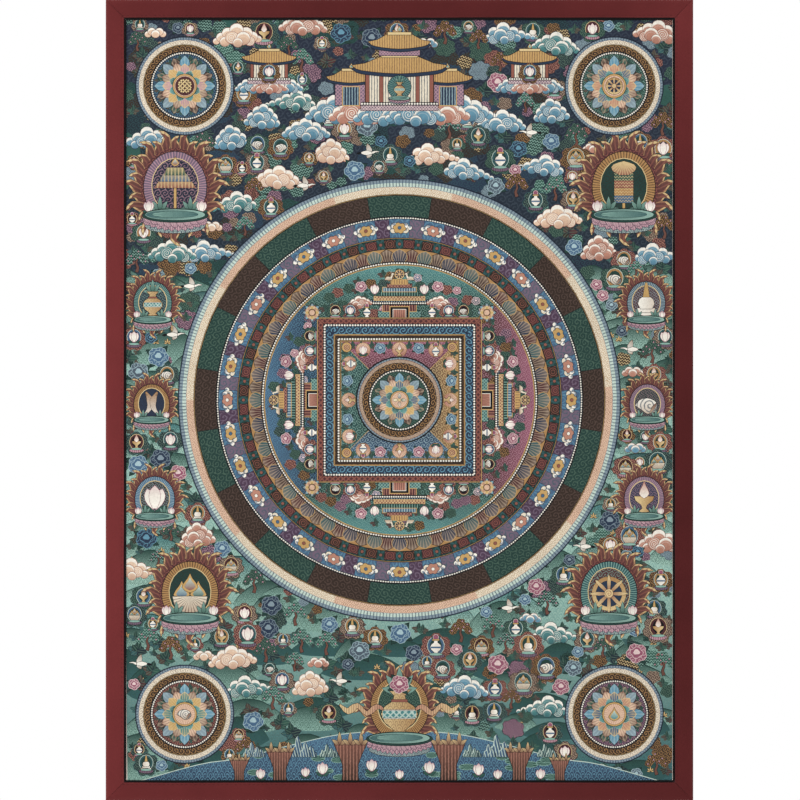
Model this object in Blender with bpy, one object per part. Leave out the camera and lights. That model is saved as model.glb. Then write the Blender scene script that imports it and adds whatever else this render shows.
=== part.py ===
"""Unrolled scroll painting on cotton, hung flat by its top edge.

The painted canvas is bound round its four edges by folded strips of dark red cloth, mitred at the
corners. A narrow black braid is sewn on the front along the inner edge of each strip.

Metres, +Z up. The front faces -Y. The origin is the middle of the top edge, where it is held.
"""

import math

import bmesh
import bpy

# The finished sheet, seen face on
SHEET_WIDTH = 0.550
SHEET_HEIGHT = 0.750
BINDING_WIDTH = 0.017
BRAID_WIDTH = 0.002

# Thickness, from the middle of the canvas outwards
CANVAS_THICKNESS = 0.0010
BINDING_CLOTH = 0.0010
BRAID_HEIGHT = 0.0012
SEWN_GAP = 0.0003  # between two pieces that are sewn face to face

# How the cloth hangs: flat where it is held, with a slow belly and soft ripples below
HELD_BAND = 0.030
BELLY_FORWARD = 0.0040
BELLY_AT = 0.62  # share of the free drop
HEM_RIPPLES = (
    # middle_x, half_width, forward
    (-0.205, 0.095, 0.0018),
    (-0.020, 0.120, 0.0012),
    (0.185, 0.110, 0.0022),
)

# Steps along the cloth
COLUMN_STEPS = 20
ROW_STEPS = 24
FOLD_STEPS = 6  # even, so that the fold's outermost line lies on the sheet's edge
BRAID_STEPS = 4

# Worked out from the sizes above
CANVAS_FACE = CANVAS_THICKNESS / 2
SEWN_FACE = CANVAS_FACE + SEWN_GAP  # where a braid or the inside of a binding's leg lies
FOLD_RADIUS = SEWN_FACE + BINDING_CLOTH  # the outer face of a binding, and its round fold
CANVAS_INSET = FOLD_RADIUS  # the canvas's edge lies in the middle of the fold
BRAID_INSET = BINDING_WIDTH + SEWN_GAP
MITRE_CUT = SEWN_GAP / math.sqrt(2)
FREE_DROP = SHEET_HEIGHT - HELD_BAND

BINDING_RED = (0.150, 0.020, 0.021, 1.0)
BRAID_BLACK = (0.008, 0.007, 0.008, 1.0)
CANVAS_PAINT = (0.060, 0.085, 0.080, 1.0)


def ridge(t):
    """A smooth hump: 1 where t is 0, and 0 from -1 and 1 outwards."""
    return 0.5 + 0.5 * math.cos(math.pi * t) if abs(t) < 1 else 0.0


def forward(x, z):
    """How far the cloth stands out in front of its held top band at a place on its face."""
    dropped = max(0.0, -z - HELD_BAND) / FREE_DROP
    belly = BELLY_FORWARD * ridge((dropped - BELLY_AT) / BELLY_AT)
    belly *= math.cos(math.pi * x / SHEET_WIDTH)
    ripples = sum(
        out * ridge((x - middle_x) / half_width)
        for middle_x, half_width, out in HEM_RIPPLES
    )
    return belly + ripples * dropped**2


def steps_between(first, last, steps):
    return [first + (last - first) * i / steps for i in range(steps + 1)]


COLUMNS = steps_between(
    HELD_BAND - SHEET_WIDTH / 2, SHEET_WIDTH / 2 - HELD_BAND, COLUMN_STEPS
)
ROWS = steps_between(-HELD_BAND, HELD_BAND - SHEET_HEIGHT, ROW_STEPS)


def cloth_material(name, colour, roughness):
    material = bpy.data.materials.new(name)
    material.use_nodes = True
    shader = material.node_tree.nodes["Principled BSDF"]
    shader.inputs["Base Color"].default_value = colour
    shader.inputs["Roughness"].default_value = roughness
    shader.inputs["Metallic"].default_value = 0.0
    return material


def add_object(name, bm, material):
    bmesh.ops.recalc_face_normals(bm, faces=bm.faces)
    mesh = bpy.data.meshes.new(name)
    bm.to_mesh(mesh)
    bm.free()
    mesh.materials.append(material)
    placed = bpy.data.objects.new(name, mesh)
    bpy.context.scene.collection.objects.link(placed)
    return placed


def painted_canvas(material):
    """One sheet of cotton, drawn as its middle surface and thickened both ways."""
    side = SHEET_WIDTH / 2 - CANVAS_INSET
    columns = [-side, *COLUMNS, side]
    rows = [-CANVAS_INSET, *ROWS, CANVAS_INSET - SHEET_HEIGHT]
    bm = bmesh.new()
    grid = [[bm.verts.new((x, -forward(x, z), z)) for x in columns] for z in rows]
    for upper, lower in zip(grid, grid[1:]):
        for i in range(len(columns) - 1):
            bm.faces.new((upper[i], upper[i + 1], lower[i + 1], lower[i]))
    canvas = add_object("painted_canvas", bm, material)
    thicken = canvas.modifiers.new("thickness", "SOLIDIFY")
    thicken.thickness = CANVAS_THICKNESS
    thicken.offset = 0.0
    canvas.data.shade_smooth()
    return canvas


# Each side of the sheet: where its length starts and ends, and the steps along it. The top is held
# flat, so it needs none.
SIDES = {
    "top": (-SHEET_WIDTH / 2, SHEET_WIDTH / 2, []),
    "bottom": (-SHEET_WIDTH / 2, SHEET_WIDTH / 2, COLUMNS),
    "left": (0.0, -SHEET_HEIGHT, ROWS),
    "right": (0.0, -SHEET_HEIGHT, ROWS),
}


def on_side(side, along, inward):
    """The x and z of a point that lies along a side and this far in from its outer edge."""
    if side == "top":
        return along, -inward
    if side == "bottom":
        return along, inward - SHEET_HEIGHT
    if side == "left":
        return inward - SHEET_WIDTH / 2, along
    return SHEET_WIDTH / 2 - inward, along


def sewn_strip(name, side, section, material):
    """A strip of one section along one side of the sheet, mitred at both ends.

    A section is a closed loop of (inward, back): in from the outer edge, and back from the middle
    of the canvas, which is negative towards the front.
    """
    first, last, steps = SIDES[side]
    onward = math.copysign(1.0, last - first)
    # Each ring of the strip: a place along the side, and how its mitre cut leans
    stations = [(first, onward), *((along, 0.0) for along in steps), (last, -onward)]
    bm = bmesh.new()
    rings = []
    for station, lean in stations:
        ring = []
        for inward, back in section:
            along = station + lean * (inward + MITRE_CUT)
            x, z = on_side(side, along, inward)
            ring.append(bm.verts.new((x, back - forward(x, z), z)))
        rings.append(ring)
    count = len(section)
    for near, far in zip(rings, rings[1:]):
        for i in range(count):
            j = (i + 1) % count
            bm.faces.new((near[i], near[j], far[j], far[i]))
    bm.faces.new(rings[0])
    bm.faces.new(rings[-1])
    return add_object(name, bm, material)


def fold_arc(radius, turn_from, turn_to):
    """Points of the round fold about the canvas's edge, by the turn from straight forward."""
    turns = steps_between(turn_from, turn_to, FOLD_STEPS)
    return [
        (CANVAS_INSET - radius * math.sin(turn), -radius * math.cos(turn))
        for turn in turns
    ]


def binding_section():
    """A strip folded round the edge of the canvas, with a leg on each face."""
    return [
        (BINDING_WIDTH, -FOLD_RADIUS),
        *fold_arc(FOLD_RADIUS, 0.0, math.pi),
        (BINDING_WIDTH, FOLD_RADIUS),
        (BINDING_WIDTH, SEWN_FACE),
        *fold_arc(SEWN_FACE, math.pi, 0.0),
        (BINDING_WIDTH, -SEWN_FACE),
    ]


def braid_section():
    """A narrow braid: flat where it is sewn down, and round over its top."""
    turns = steps_between(0.0, math.pi, BRAID_STEPS)
    side_height = BRAID_HEIGHT / 2
    crown = BRAID_HEIGHT - side_height
    middle = BRAID_INSET + BRAID_WIDTH / 2
    dome = [
        (
            middle - BRAID_WIDTH / 2 * math.cos(turn),
            -SEWN_FACE - side_height - crown * math.sin(turn),
        )
        for turn in turns
    ]
    return [
        (BRAID_INSET, -SEWN_FACE),
        *dome,
        (BRAID_INSET + BRAID_WIDTH, -SEWN_FACE),
    ]


def main():
    for old in list(bpy.data.objects):
        bpy.data.objects.remove(old, do_unlink=True)
    paint = cloth_material("painted_cotton", CANVAS_PAINT, 0.75)
    red = cloth_material("red_cloth", BINDING_RED, 0.85)
    black = cloth_material("black_braid", BRAID_BLACK, 0.80)
    painted_canvas(paint)
    for side in SIDES:
        sewn_strip(f"binding_{side}", side, binding_section(), red)
        sewn_strip(f"braid_{side}", side, braid_section(), black)


main()
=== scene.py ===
"""Looks of an unrolled scroll painting: painted cotton canvas, red cloth binding and black braid.

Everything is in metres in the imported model's frame: the front faces -Y and the origin is the middle
of the top edge. The painting itself is laid out in millimetres from the middle of the sheet, as
complex numbers, across + up * 1j.
"""

import math
import random

import bmesh
import bpy
import numpy as np
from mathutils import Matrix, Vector
from mathutils.bvhtree import BVHTree
from mathutils.geometry import delaunay_2d_cdt


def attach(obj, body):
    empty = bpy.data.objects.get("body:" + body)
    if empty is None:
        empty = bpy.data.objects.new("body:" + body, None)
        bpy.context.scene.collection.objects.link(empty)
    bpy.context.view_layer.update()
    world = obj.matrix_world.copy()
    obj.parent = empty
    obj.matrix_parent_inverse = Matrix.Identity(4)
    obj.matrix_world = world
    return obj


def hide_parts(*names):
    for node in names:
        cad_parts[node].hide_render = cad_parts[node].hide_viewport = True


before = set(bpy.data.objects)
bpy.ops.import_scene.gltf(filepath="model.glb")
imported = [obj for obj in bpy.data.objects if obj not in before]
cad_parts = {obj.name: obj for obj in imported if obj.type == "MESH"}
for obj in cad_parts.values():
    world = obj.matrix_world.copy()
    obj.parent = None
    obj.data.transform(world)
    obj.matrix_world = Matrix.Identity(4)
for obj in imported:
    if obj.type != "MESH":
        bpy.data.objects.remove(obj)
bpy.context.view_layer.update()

MM = 0.001

# The sheet, as its solids have it
SHEET_WIDTH = 0.550
SHEET_HEIGHT = 0.750
BINDING_WIDTH = 0.017
BRAID_WIDTH = 0.002
CANVAS_FACE = 0.0005
SEWN_GAP = 0.0003
SEWN_FACE = CANVAS_FACE + SEWN_GAP
BINDING_FACE = 0.0018
CANVAS_INSET = BINDING_FACE
HELD_BAND = 0.030
BELLY_FORWARD = 0.0040
BELLY_AT = 0.62
HEM_RIPPLES = (
    # middle_x, half_width, forward
    (-0.205, 0.095, 0.0018),
    (-0.020, 0.120, 0.0012),
    (0.185, 0.110, 0.0022),
)
SHEET_MIDDLE = -SHEET_HEIGHT / 2

# The edge of the paint, in millimetres: it stops a little short of the braid, more so on the
# right and low on the left
PAINT_EDGE = np.array([
    -256.4 + 356.4j, -256.4 - 150j, -255.3 - 300j, -254.6 - 356.3j,
    -40 - 356.5j, 255.3 - 356.3j, 255.5 - 150j, 255.6 + 90j, 255.5 + 356.4j,
])
BORDER_CORNER = 262 + 362j  # of the black border, which reaches under the bindings
BARE_CORNER = 255.9 + 355.9j  # of the bare cotton that shows beyond the paint

PAINTS = {
    "ink": "15161b", "umber": "392b24", "bark": "54413a", "maroon": "552a2e",
    "rust": "7a4a3c", "brick": "93503f", "coral": "c08068", "ochre": "b2813f", "gold": "cda152",
    "straw": "e2c586", "sand": "bfa58b", "peach": "e6c0a0", "cream": "eee2ca", "ivory": "faf5ea",
    "rose": "974b68", "pink": "c190a0", "blush": "e6c9c8", "mauve": "76637a", "plum": "513a52",
    "indigo": "232c40", "navy": "243650", "azure": "3c658a", "sky": "5796b2", "pale_sky": "a3c4ce",
    "night": "20303a", "pine": "21423d", "leaf": "2c5a4f", "sage": "5f7f6c", "teal": "2e5d62",
    "turquoise": "43898c", "aqua": "8ab8ab", "mint": "9dc9bb", "mist": "c6ddd2",
    "slate": "4e5e6e", "steel": "8298a6", "cotton": "e2d3c8",
}

PATTERNS = {
    name: number
    for number, name in enumerate(
        ("plain", "bars", "rings", "rays", "scales", "curls", "spiral", "waves", "lattice",
         "rim", "pearls")
    )
}


def linear(paint):
    """A paint's colour as the renderer wants it."""
    code = PAINTS[paint]
    shares = [int(code[i:i + 2], 16) / 255 for i in (0, 2, 4)]
    return [s / 12.92 if s <= 0.04045 else ((s + 0.055) / 1.055) ** 2.4 for s in shares]


def toward(share):
    """The unit point at a share of a whole turn, anticlockwise from the right."""
    return np.exp(2j * np.pi * share)


# ---------------------------------------------------------------- outlines, as complex numbers


def turns(count, start=0.0):
    """Unit points at even turns about a middle."""
    return toward(start + np.arange(count) / count)


def oval(middle, rx, ry=None, count=None):
    """An oval, by default with just enough points to look round at its size."""
    ry = rx if ry is None else ry
    count = count or int(np.clip(round(5.2 * math.sqrt(max(abs(rx), abs(ry)))), 6, 90))
    ring = turns(count, 0.25 / count)
    return middle + rx * ring.real + 1j * ry * ring.imag


def scalloped(middle, rx, ry, lobes, swell=0.16, start=0.0):
    """An oval with round lobes along its edge."""
    ring = turns(3 * lobes, start)
    out = np.tile([1.0, 1 + swell, 1 + swell], lobes)
    return middle + out * (rx * ring.real + 1j * ry * ring.imag)


def arc(middle, radius, start, end, count):
    """An open path round a middle, from one share of a turn to another."""
    return middle + radius * toward(np.linspace(start, end, count))


def smooth(points, steps=3):
    """An open path curved through a few points."""
    p = np.array(points, complex)
    p = np.concatenate([[2 * p[0] - p[1]], p, [2 * p[-1] - p[-2]]])
    t = np.arange(steps) / steps
    out = []
    for a, b, c, d in zip(p, p[1:], p[2:], p[3:]):
        out.extend(
            0.5 * (2 * b + (c - a) * t + (2 * a - 5 * b + 4 * c - d) * t**2
                   + (3 * b - 3 * c + d - a) * t**3)
        )
    return np.array([*out, p[-2]])


# Half widths along a spindle, from its root to its tip
PETAL = ((0, 0.36), (0.3, 0.88), (0.55, 1.0), (0.77, 0.82), (0.9, 0.42), (1, 0))

CLOUDS = (
    # across, up and radius of each lobe; the last five are the hearts in front
    ((-20.5, -2.6, 3.0), (20.0, -1.8, 3.2), (-15.5, 0.9, 4.6), (14.6, 0.6, 4.9), (-9.2, 4.9, 5.2),
     (8.6, 4.4, 5.6), (-0.6, 7.8, 6.2), (-12.2, -3.2, 4.6), (11.8, -3.4, 4.6), (-5.4, 0.4, 6.0),
     (5.6, -0.6, 6.4), (0.2, -4.6, 4.4)),
    ((-25.0, -3.9, 2.2), (-20.0, -2.4, 3.0), (17.5, -2.2, 3.8), (-13.6, -0.4, 4.0),
     (12.4, 3.4, 5.0), (-6.4, 2.8, 4.8), (3.2, 6.6, 6.0), (-9.4, -3.8, 3.8), (12.8, -3.6, 4.6),
     (-2.8, -1.2, 5.2), (6.2, 0.4, 6.0), (2.6, -4.8, 4.0)),
    ((-13.4, -2.6, 3.8), (14.2, -3.0, 3.4), (-9.8, 2.6, 4.8), (10.0, 2.2, 4.6), (-5.6, 7.4, 4.6),
     (4.6, 7.8, 5.0), (-0.6, 11.4, 4.2), (-7.4, -3.0, 5.0), (7.8, -2.8, 4.8), (-3.0, 2.8, 5.2),
     (3.6, 1.8, 5.4), (0.0, -5.0, 4.2)),
)
LEAF = ((0, 0), (0.2, 0.62), (0.45, 1.0), (0.75, 0.6), (1, 0))
SHORT_LEAF = ((0, 0), (0.35, 0.95), (0.72, 0.6), (1, 0))
DROP = ((0, 0), (0.1, 0.62), (0.28, 1.0), (0.5, 0.74), (0.75, 0.28), (1, 0))
FEATHER = ((0, 0.6), (0.3, 1.0), (0.7, 0.7), (1, 0.1))
CUP = ((0, 0.62), (0.12, 0.5), (0.3, 0.18), (0.5, 0.3), (0.75, 0.85), (1, 1.0))
BOLT = ((0, 0.3), (0.3, 0.35), (0.42, 0.95), (0.7, 0.8), (1, 0))

VASE = (
    (0, 0.50), (0.06, 0.52), (0.13, 0.26), (0.30, 0.80), (0.48, 1.0), (0.64, 0.80),
    (0.76, 0.34), (0.88, 0.30), (1, 0.62),
)


def spindle(root, tip, width, profile):
    """A shape that is alike on both sides of the line from its root to its tip."""
    along = tip - root
    side = 1j * along / abs(along) * width / 2
    right = [root + along * t - side * w for t, w in profile]
    left = [root + along * t + side * w for t, w in reversed(profile) if w]
    return np.array(right + left)


def stroke(path, widths):
    """A brush stroke along a path, as wide as its widths say from start to end."""
    path = np.asarray(path, complex)
    ahead = np.gradient(path)
    side = 1j * ahead / np.maximum(abs(ahead), 1e-9)
    wide = np.interp(np.linspace(0, 1, len(path)), np.linspace(0, 1, len(widths)), widths)
    side *= wide / 2
    return np.concatenate([path - side, (path + side)[::-1]])


def rectangle(low, high):
    """The rectangle between two opposite corners."""
    return np.array([low, high.real + 1j * low.imag, high, low.real + 1j * high.imag])


def block(half, low, high, middle=0):
    """An upright rectangle, this far each way from its middle and from one height to another."""
    return rectangle(middle - half + 1j * low, middle + half + 1j * high)


def ring_sector(inner, outer, start, end, count):
    """A part of a ring between two shares of a turn."""
    return np.concatenate([arc(0, outer, start, end, count), arc(0, inner, end, start, count)])


def grown(outline, by):
    """The outline moved outwards by a distance."""
    ahead = np.roll(outline, -1) - outline
    if np.sum((np.conj(outline) * np.roll(outline, -1)).imag) < 0:
        by = -by
    out = -1j * ahead / np.maximum(abs(ahead), NIL)
    before = np.roll(out, 1)
    share = 1 + (out * np.conj(before)).real
    return outline + by * (out + before) / np.maximum(share, 0.45)


def clipped(outline, window):
    """The part of an outline inside a convex window, whose corners run anticlockwise."""
    points = list(outline)
    for a, b in zip(window, np.roll(window, -1)):
        inside = [((p - a) * np.conj(b - a)).imag >= -NIL for p in points]
        kept = []
        for i, p in enumerate(points):
            q, p_in, q_in = points[i - 1], inside[i], inside[i - 1]
            if p_in != q_in:
                dp, dq = (((e - a) * np.conj(b - a)).imag for e in (p, q))
                kept.append(q + (p - q) * dq / (dq - dp))
            if p_in:
                kept.append(p)
        points = kept
        if len(points) < 3:
            return None
    return np.array(points)


# ---------------------------------------------------------------- painting


class Lines:
    """Fine brush lines inside a shape: which pattern, where it starts, and one repeat's length."""

    def __init__(self, pattern, step, ink="ink", strength=0.7, about=0, count=0):
        self.pattern = PATTERNS[pattern] + count / 1000
        self.step = step
        self.about = about
        self.ink = ink
        self.strength = strength


SHAPES = []  # every painted shape, from the ground up
NONE = (0, 0, 0, 0, 0)  # no shading, fine lines or ink
STRAIGHT_ACROSS, ROUND = 1, 2  # how a shape is shaded


def painted_shape(outline, paint, to=None, tint=NONE, chart=NONE, ink=NONE, gilt=0.0):
    """The record of one shape: its outline in the sheet's frame, and what the material needs."""
    return dict(outline=outline, paint=linear(paint), to=linear(to or paint), tint=tint,
                chart=chart, ink=ink, gilt=gilt)


class Brush:
    """Paints in a frame of its own, which may be moved, sized, turned and mirrored."""

    def __init__(self, at=0, unit=1.0, mirror=False):
        self.at = at
        self.unit = unit
        self.mirror = mirror

    def put(self, points):
        """Points of this brush's frame, as they lie on the sheet."""
        points = np.asarray(points, complex)
        if self.mirror:
            points = -np.conj(points)
        return self.at + self.unit * points

    def moved(self, at=0, size=1.0, turn=0.0, mirror=False):
        """A brush at a place in this one's frame, sized, turned and mirrored there."""
        unit = self.unit * size * toward(-turn if self.mirror else turn)
        return Brush(complex(self.put(at)), unit, self.mirror != mirror)

    def both_sides(self):
        """This brush, and the one that paints its mirror image."""
        return self, self.moved(mirror=True)

    def fill(self, outline, paint, to=None, across=None, within=None, lines=None,
             edge=0.4, edge_paint="ink", gilt=0.0, polar=None):
        """One shape: its ground colour, shading, fine lines and a thin painted edge.

        It shades into `to` across a line's two ends, or within a middle's two radii. Fine lines
        run on flat ground, or round a middle where polar gives (middle, inner, outer, repeats).
        The edge is in millimetres, whatever the brush's own size.
        """
        outline = np.asarray(outline, complex)
        placed = self.put(outline)
        if edge:
            SHAPES.append(painted_shape(grown(placed, edge), edge_paint))
        scale = abs(self.unit)
        tint, chart, ink = NONE, NONE, NONE
        if to and within:
            middle = complex(self.put(within[0]))
            tint = [ROUND, middle.real, middle.imag, within[1] * scale, within[2] * scale]
        elif to:
            if across is None:
                across = (1j * outline.imag.min(), 1j * outline.imag.max())
            a, b = (complex(self.put(p)) for p in across)
            tint = [STRAIGHT_ACROSS, a.real, a.imag, b.real, b.imag]
        if lines:
            ink = [*linear(lines.ink), lines.strength]
            about = complex(self.put(lines.about))
            step = self.unit * (-np.conj(lines.step) if self.mirror else lines.step)
            chart = [lines.pattern, about.real, about.imag, step.real, step.imag]
        if polar:
            middle, inner, outer, repeats = polar
            middle = complex(self.put(middle))
            chart = [-lines.pattern, middle.real, middle.imag, inner * scale, outer * scale]
            ink.append(repeats)
        SHAPES.append(painted_shape(placed, paint, to, tint, chart, ink, gilt))


# ---------------------------------------------------------------- canvas mesh


PIXEL = 0.1  # millimetres, on the board that tells which shape shows where
BOARD_CORNER = -263 - 363j
STRAIGHT = 0.12  # how far a point may lie off a straight run, in millimetres
LOOK_STEP = 0.14  # between the looks along an outline, in millimetres
LOOK_IN = 0.085  # how far inside an outline they are taken
LOOKED_OVER = 0.6  # how many steps a stretch reaches past the looks that show it
NEAR_EDGE = 2.0  # millimetres from the paint's edge, where a shape may need cutting
ONE_POINT = 1e-4  # points closer than this are one, in millimetres
GRID_STEP = 16.0  # between the free points that follow the cloth's belly, in millimetres
NIL = 1e-9  # less than any length that counts


def ridge(t):
    """A smooth hump: 1 where t is 0, and 0 from -1 and 1 outwards."""
    return np.where(abs(t) < 1, 0.5 + 0.5 * np.cos(np.pi * np.clip(t, -1, 1)), 0.0)


def forward(x, z):
    """How far the cloth stands out in front of its held top band, as its solid does."""
    dropped = np.maximum(0.0, -z - HELD_BAND) / (SHEET_HEIGHT - HELD_BAND)
    belly = BELLY_FORWARD * ridge((dropped - BELLY_AT) / BELLY_AT)
    belly = belly * np.cos(np.pi * x / SHEET_WIDTH)
    ripples = sum(out * ridge((x - at) / half) for at, half, out in HEM_RIPPLES)
    return belly + ripples * dropped**2


def painted_shapes():
    """The shapes that show, cut off at the edge of the paint, on bare cotton in a black border."""
    border = Brush()
    first = len(SHAPES)
    border.fill(rectangle(-BORDER_CORNER, BORDER_CORNER), "ink", edge=0)
    border.fill(rectangle(-BARE_CORNER, BARE_CORNER), "cotton", edge=0, gilt=-1.0)
    kept = SHAPES[first:]
    low = PAINT_EDGE.real.min() + NEAR_EDGE, PAINT_EDGE.imag.min() + NEAR_EDGE
    high = PAINT_EDGE.real.max() - NEAR_EDGE, PAINT_EDGE.imag.max() - NEAR_EDGE
    for shape in SHAPES[:first]:
        p = shape["outline"]
        if (p.real.min() < low[0] or p.imag.min() < low[1]
                or p.real.max() > high[0] or p.imag.max() > high[1]):
            p = clipped(p, PAINT_EDGE)
        if p is not None:
            kept.append({**shape, "outline": p})
    return kept


def seen_lines(corners, triangles, top):
    """The lines between shapes that still show, with points that lie on a straight run left out."""
    pairs = np.sort(np.concatenate([triangles[:, [0, 1]], triangles[:, [1, 2]],
                                    triangles[:, [2, 0]]]), axis=1)
    owner = np.tile(top, 3)
    order = np.lexsort((pairs[:, 1], pairs[:, 0]))
    pairs, owner = pairs[order], owner[order]
    same = (pairs[1:] == pairs[:-1]).all(axis=1)
    first = np.flatnonzero(same)
    lines = {tuple(p) for p in pairs[first[owner[first] != owner[first + 1]]].tolist()}
    near = {}
    for a, b in lines:
        near.setdefault(a, set()).add(b)
        near.setdefault(b, set()).add(a)
    for point in list(near):
        if len(near[point]) != 2:
            continue
        a, b = near[point]
        if b in near[a]:
            continue
        chord = corners[b] - corners[a]
        off = corners[point] - corners[a]
        length = math.hypot(*chord)
        if length < 1e-6 or abs(chord[0] * off[1] - chord[1] * off[0]) / length > STRAIGHT:
            continue
        near[a].remove(point)
        near[b].remove(point)
        near[a].add(b)
        near[b].add(a)
        del near[point]
    return near


def cut_up(points, lines, board):
    """Triangles of the face between these points and lines, and the shape that shows on each."""
    found = delaunay_2d_cdt([Vector(p) for p in points], lines, [], 0, ONE_POINT, False)
    flat = np.array([tuple(p) for p in found[0]])
    faces = np.array(found[2])
    middles = flat[faces].mean(axis=1)
    return flat, faces, shown_on(board, middles[:, 0] + 1j * middles[:, 1]) - 1


def cover(board, outline, number):
    """Lays one shape on the board, over what is there."""
    q = (outline - BOARD_CORNER) / PIXEL
    after = np.roll(q, -1)
    first = np.ceil(np.minimum(q.imag, after.imag) - 0.5).astype(int)
    rows = np.ceil(np.maximum(q.imag, after.imag) - 0.5).astype(int) - first
    side = np.repeat(np.arange(len(q)), rows)
    row = first[side] + np.arange(len(side)) - np.repeat(np.cumsum(rows) - rows, rows)
    lean = (after.real - q.real)[side] / (after.imag - q.imag)[side]
    across = q.real[side] + (row + 0.5 - q.imag[side]) * lean
    order = np.lexsort((across, row))
    edges = np.ceil(across[order] - 0.5).astype(int)
    for r, left, right in zip(row[order][::2].tolist(), edges[::2].tolist(), edges[1::2].tolist()):
        board[r, left:right] = number


def shown_on(board, spots):
    """The number of the shape that shows at each spot."""
    q = (spots - BOARD_CORNER) / PIXEL
    rows = np.clip(q.imag.astype(int), 0, board.shape[0] - 1)
    columns = np.clip(q.real.astype(int), 0, board.shape[1] - 1)
    return board[rows, columns].astype(int)


def shown_lines(board, shapes):
    """The stretches of all outlines that no later shape hides, as rows of start and end."""
    starts = np.concatenate([s["outline"] for s in shapes])
    ends = np.concatenate([np.roll(s["outline"], -1) for s in shapes])
    numbers = np.repeat(np.arange(1, len(shapes) + 1), [len(s["outline"]) for s in shapes])
    signs = np.repeat([np.sign(np.sum((np.conj(s["outline"]) * np.roll(s["outline"], -1)).imag))
                       for s in shapes], [len(s["outline"]) for s in shapes])
    lengths = abs(ends - starts)
    kept = lengths > 1e-3
    starts, ends, numbers, signs, lengths = (
        v[kept] for v in (starts, ends, numbers, signs, lengths))
    inwards = 1j * (ends - starts) / lengths * signs * LOOK_IN
    looks = np.maximum(2, np.ceil(lengths / LOOK_STEP).astype(int))
    line = np.repeat(np.arange(len(starts)), looks)
    place = np.arange(len(line)) - np.repeat(np.cumsum(looks) - looks, looks)
    share = (place + 0.5) / looks[line]
    spots = starts[line] + (ends - starts)[line] * share + inwards[line]
    seen = shown_on(board, spots) == numbers[line]
    new_line = np.concatenate([[True], line[1:] != line[:-1]])
    begins = seen & (new_line | ~np.concatenate([[False], seen[:-1]]))
    last_look = np.concatenate([new_line[1:], [True]])
    stops = seen & (last_look | ~np.concatenate([seen[1:], [False]]))
    at, to = np.flatnonzero(begins), np.flatnonzero(stops)
    line, looks_there = line[at], looks[line[at]]
    before, beyond = place[at] > 0, place[to] < looks_there - 1
    low = np.clip((place[at] - LOOKED_OVER * before) / looks_there, 0, 1)
    high = np.clip((place[to] + 1 + LOOKED_OVER * beyond) / looks_there, 0, 1)
    run = ends[line] - starts[line]
    return np.stack([starts[line] + run * low, starts[line] + run * high], axis=1)


def grid_lines(half):
    """Even places from one edge to the other, about a grid's step apart."""
    return np.linspace(-half, half, 2 * round(half / GRID_STEP) + 1)


def painted_mesh(shapes):
    """Points, triangles and top shapes of the whole front face, with its grid of free points."""
    wide, tall = (round(-2 * c / PIXEL) for c in (BOARD_CORNER.real, BOARD_CORNER.imag))
    board = np.zeros((tall, wide), np.uint16)
    for number, shape in enumerate(shapes, 1):
        cover(board, shape["outline"], number)
    lines = np.round(shown_lines(board, shapes), 3)
    marks, index = np.unique(lines, return_inverse=True)
    pairs = np.unique(np.sort(index.reshape(-1, 2), axis=1), axis=0)
    pairs = pairs[pairs[:, 0] != pairs[:, 1]]
    flat, faces, owner = cut_up([(c.real, c.imag) for c in marks], pairs.tolist(), board)
    near = seen_lines(flat, faces, owner)
    number = {old: new for new, old in enumerate(near)}
    lines = [(number[a], number[b]) for a in near for b in near[a] if a < b]
    columns = grid_lines((SHEET_WIDTH / 2 - CANVAS_INSET) / MM)
    rows = grid_lines((SHEET_HEIGHT / 2 - CANVAS_INSET) / MM)
    points = [tuple(flat[old]) for old in near]
    points.extend((x, y) for y in rows for x in columns)
    return (*cut_up(points, lines, board), columns, rows)


def corner_paint(shapes, spots, owner):
    """Colour, fine-line chart and ink at each triangle's corners."""
    rows = [*shapes, painted_shape(None, "maroon")]

    def column(key):
        return np.array([s[key] for s in rows], float)[owner][:, None]

    tint, chart = column("tint"), column("chart")
    paint, to = column("paint"), column("to")
    ink = np.array([(*s["ink"], 0)[:5] for s in rows], float)[owner][:, None]
    p = spots[..., 0] + 1j * spots[..., 1]
    a, b = tint[..., 1] + 1j * tint[..., 2], tint[..., 3] + 1j * tint[..., 4]
    run = np.where(abs(b - a) < NIL, 1, b - a)
    straight = ((p - a) * np.conj(run)).real / abs(run) ** 2
    reach = np.where(abs(b.imag - b.real) < NIL, 1, b.imag - b.real)
    rounded = (abs(p - a) - b.real) / reach
    share = np.where(tint[..., 0] == STRAIGHT_ACROSS, straight,
                     np.where(tint[..., 0] == ROUND, rounded, 0))
    share = np.clip(share, 0, 1)[..., None]
    colour = paint + (to - paint) * share
    about, step = chart[..., 1] + 1j * chart[..., 2], chart[..., 3] + 1j * chart[..., 4]
    flat = (p - about) / np.where(abs(step) < NIL, 1, step)
    centre = (p - about).mean(axis=1, keepdims=True)
    angle = np.angle(centre) + np.angle((p - about) / np.where(abs(centre) < NIL, 1, centre))
    depth = step.imag - step.real
    radial = (abs(p - about) - step.real) / np.where(abs(depth) < NIL, 1, depth)
    polar = ink[..., 4] * angle / (2 * np.pi) + 1j * radial
    uv = np.where(chart[..., 0] < 0, polar, flat)
    pattern = np.broadcast_to(abs(chart[..., 0]), uv.shape)
    inks = np.broadcast_to(ink[..., :4], (*uv.shape, 4))
    gilts = np.broadcast_to(column("gilt"), uv.shape)
    return (np.concatenate([colour, gilts[..., None]], axis=-1),
            np.stack([uv.real, uv.imag, pattern], axis=-1), inks)


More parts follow.
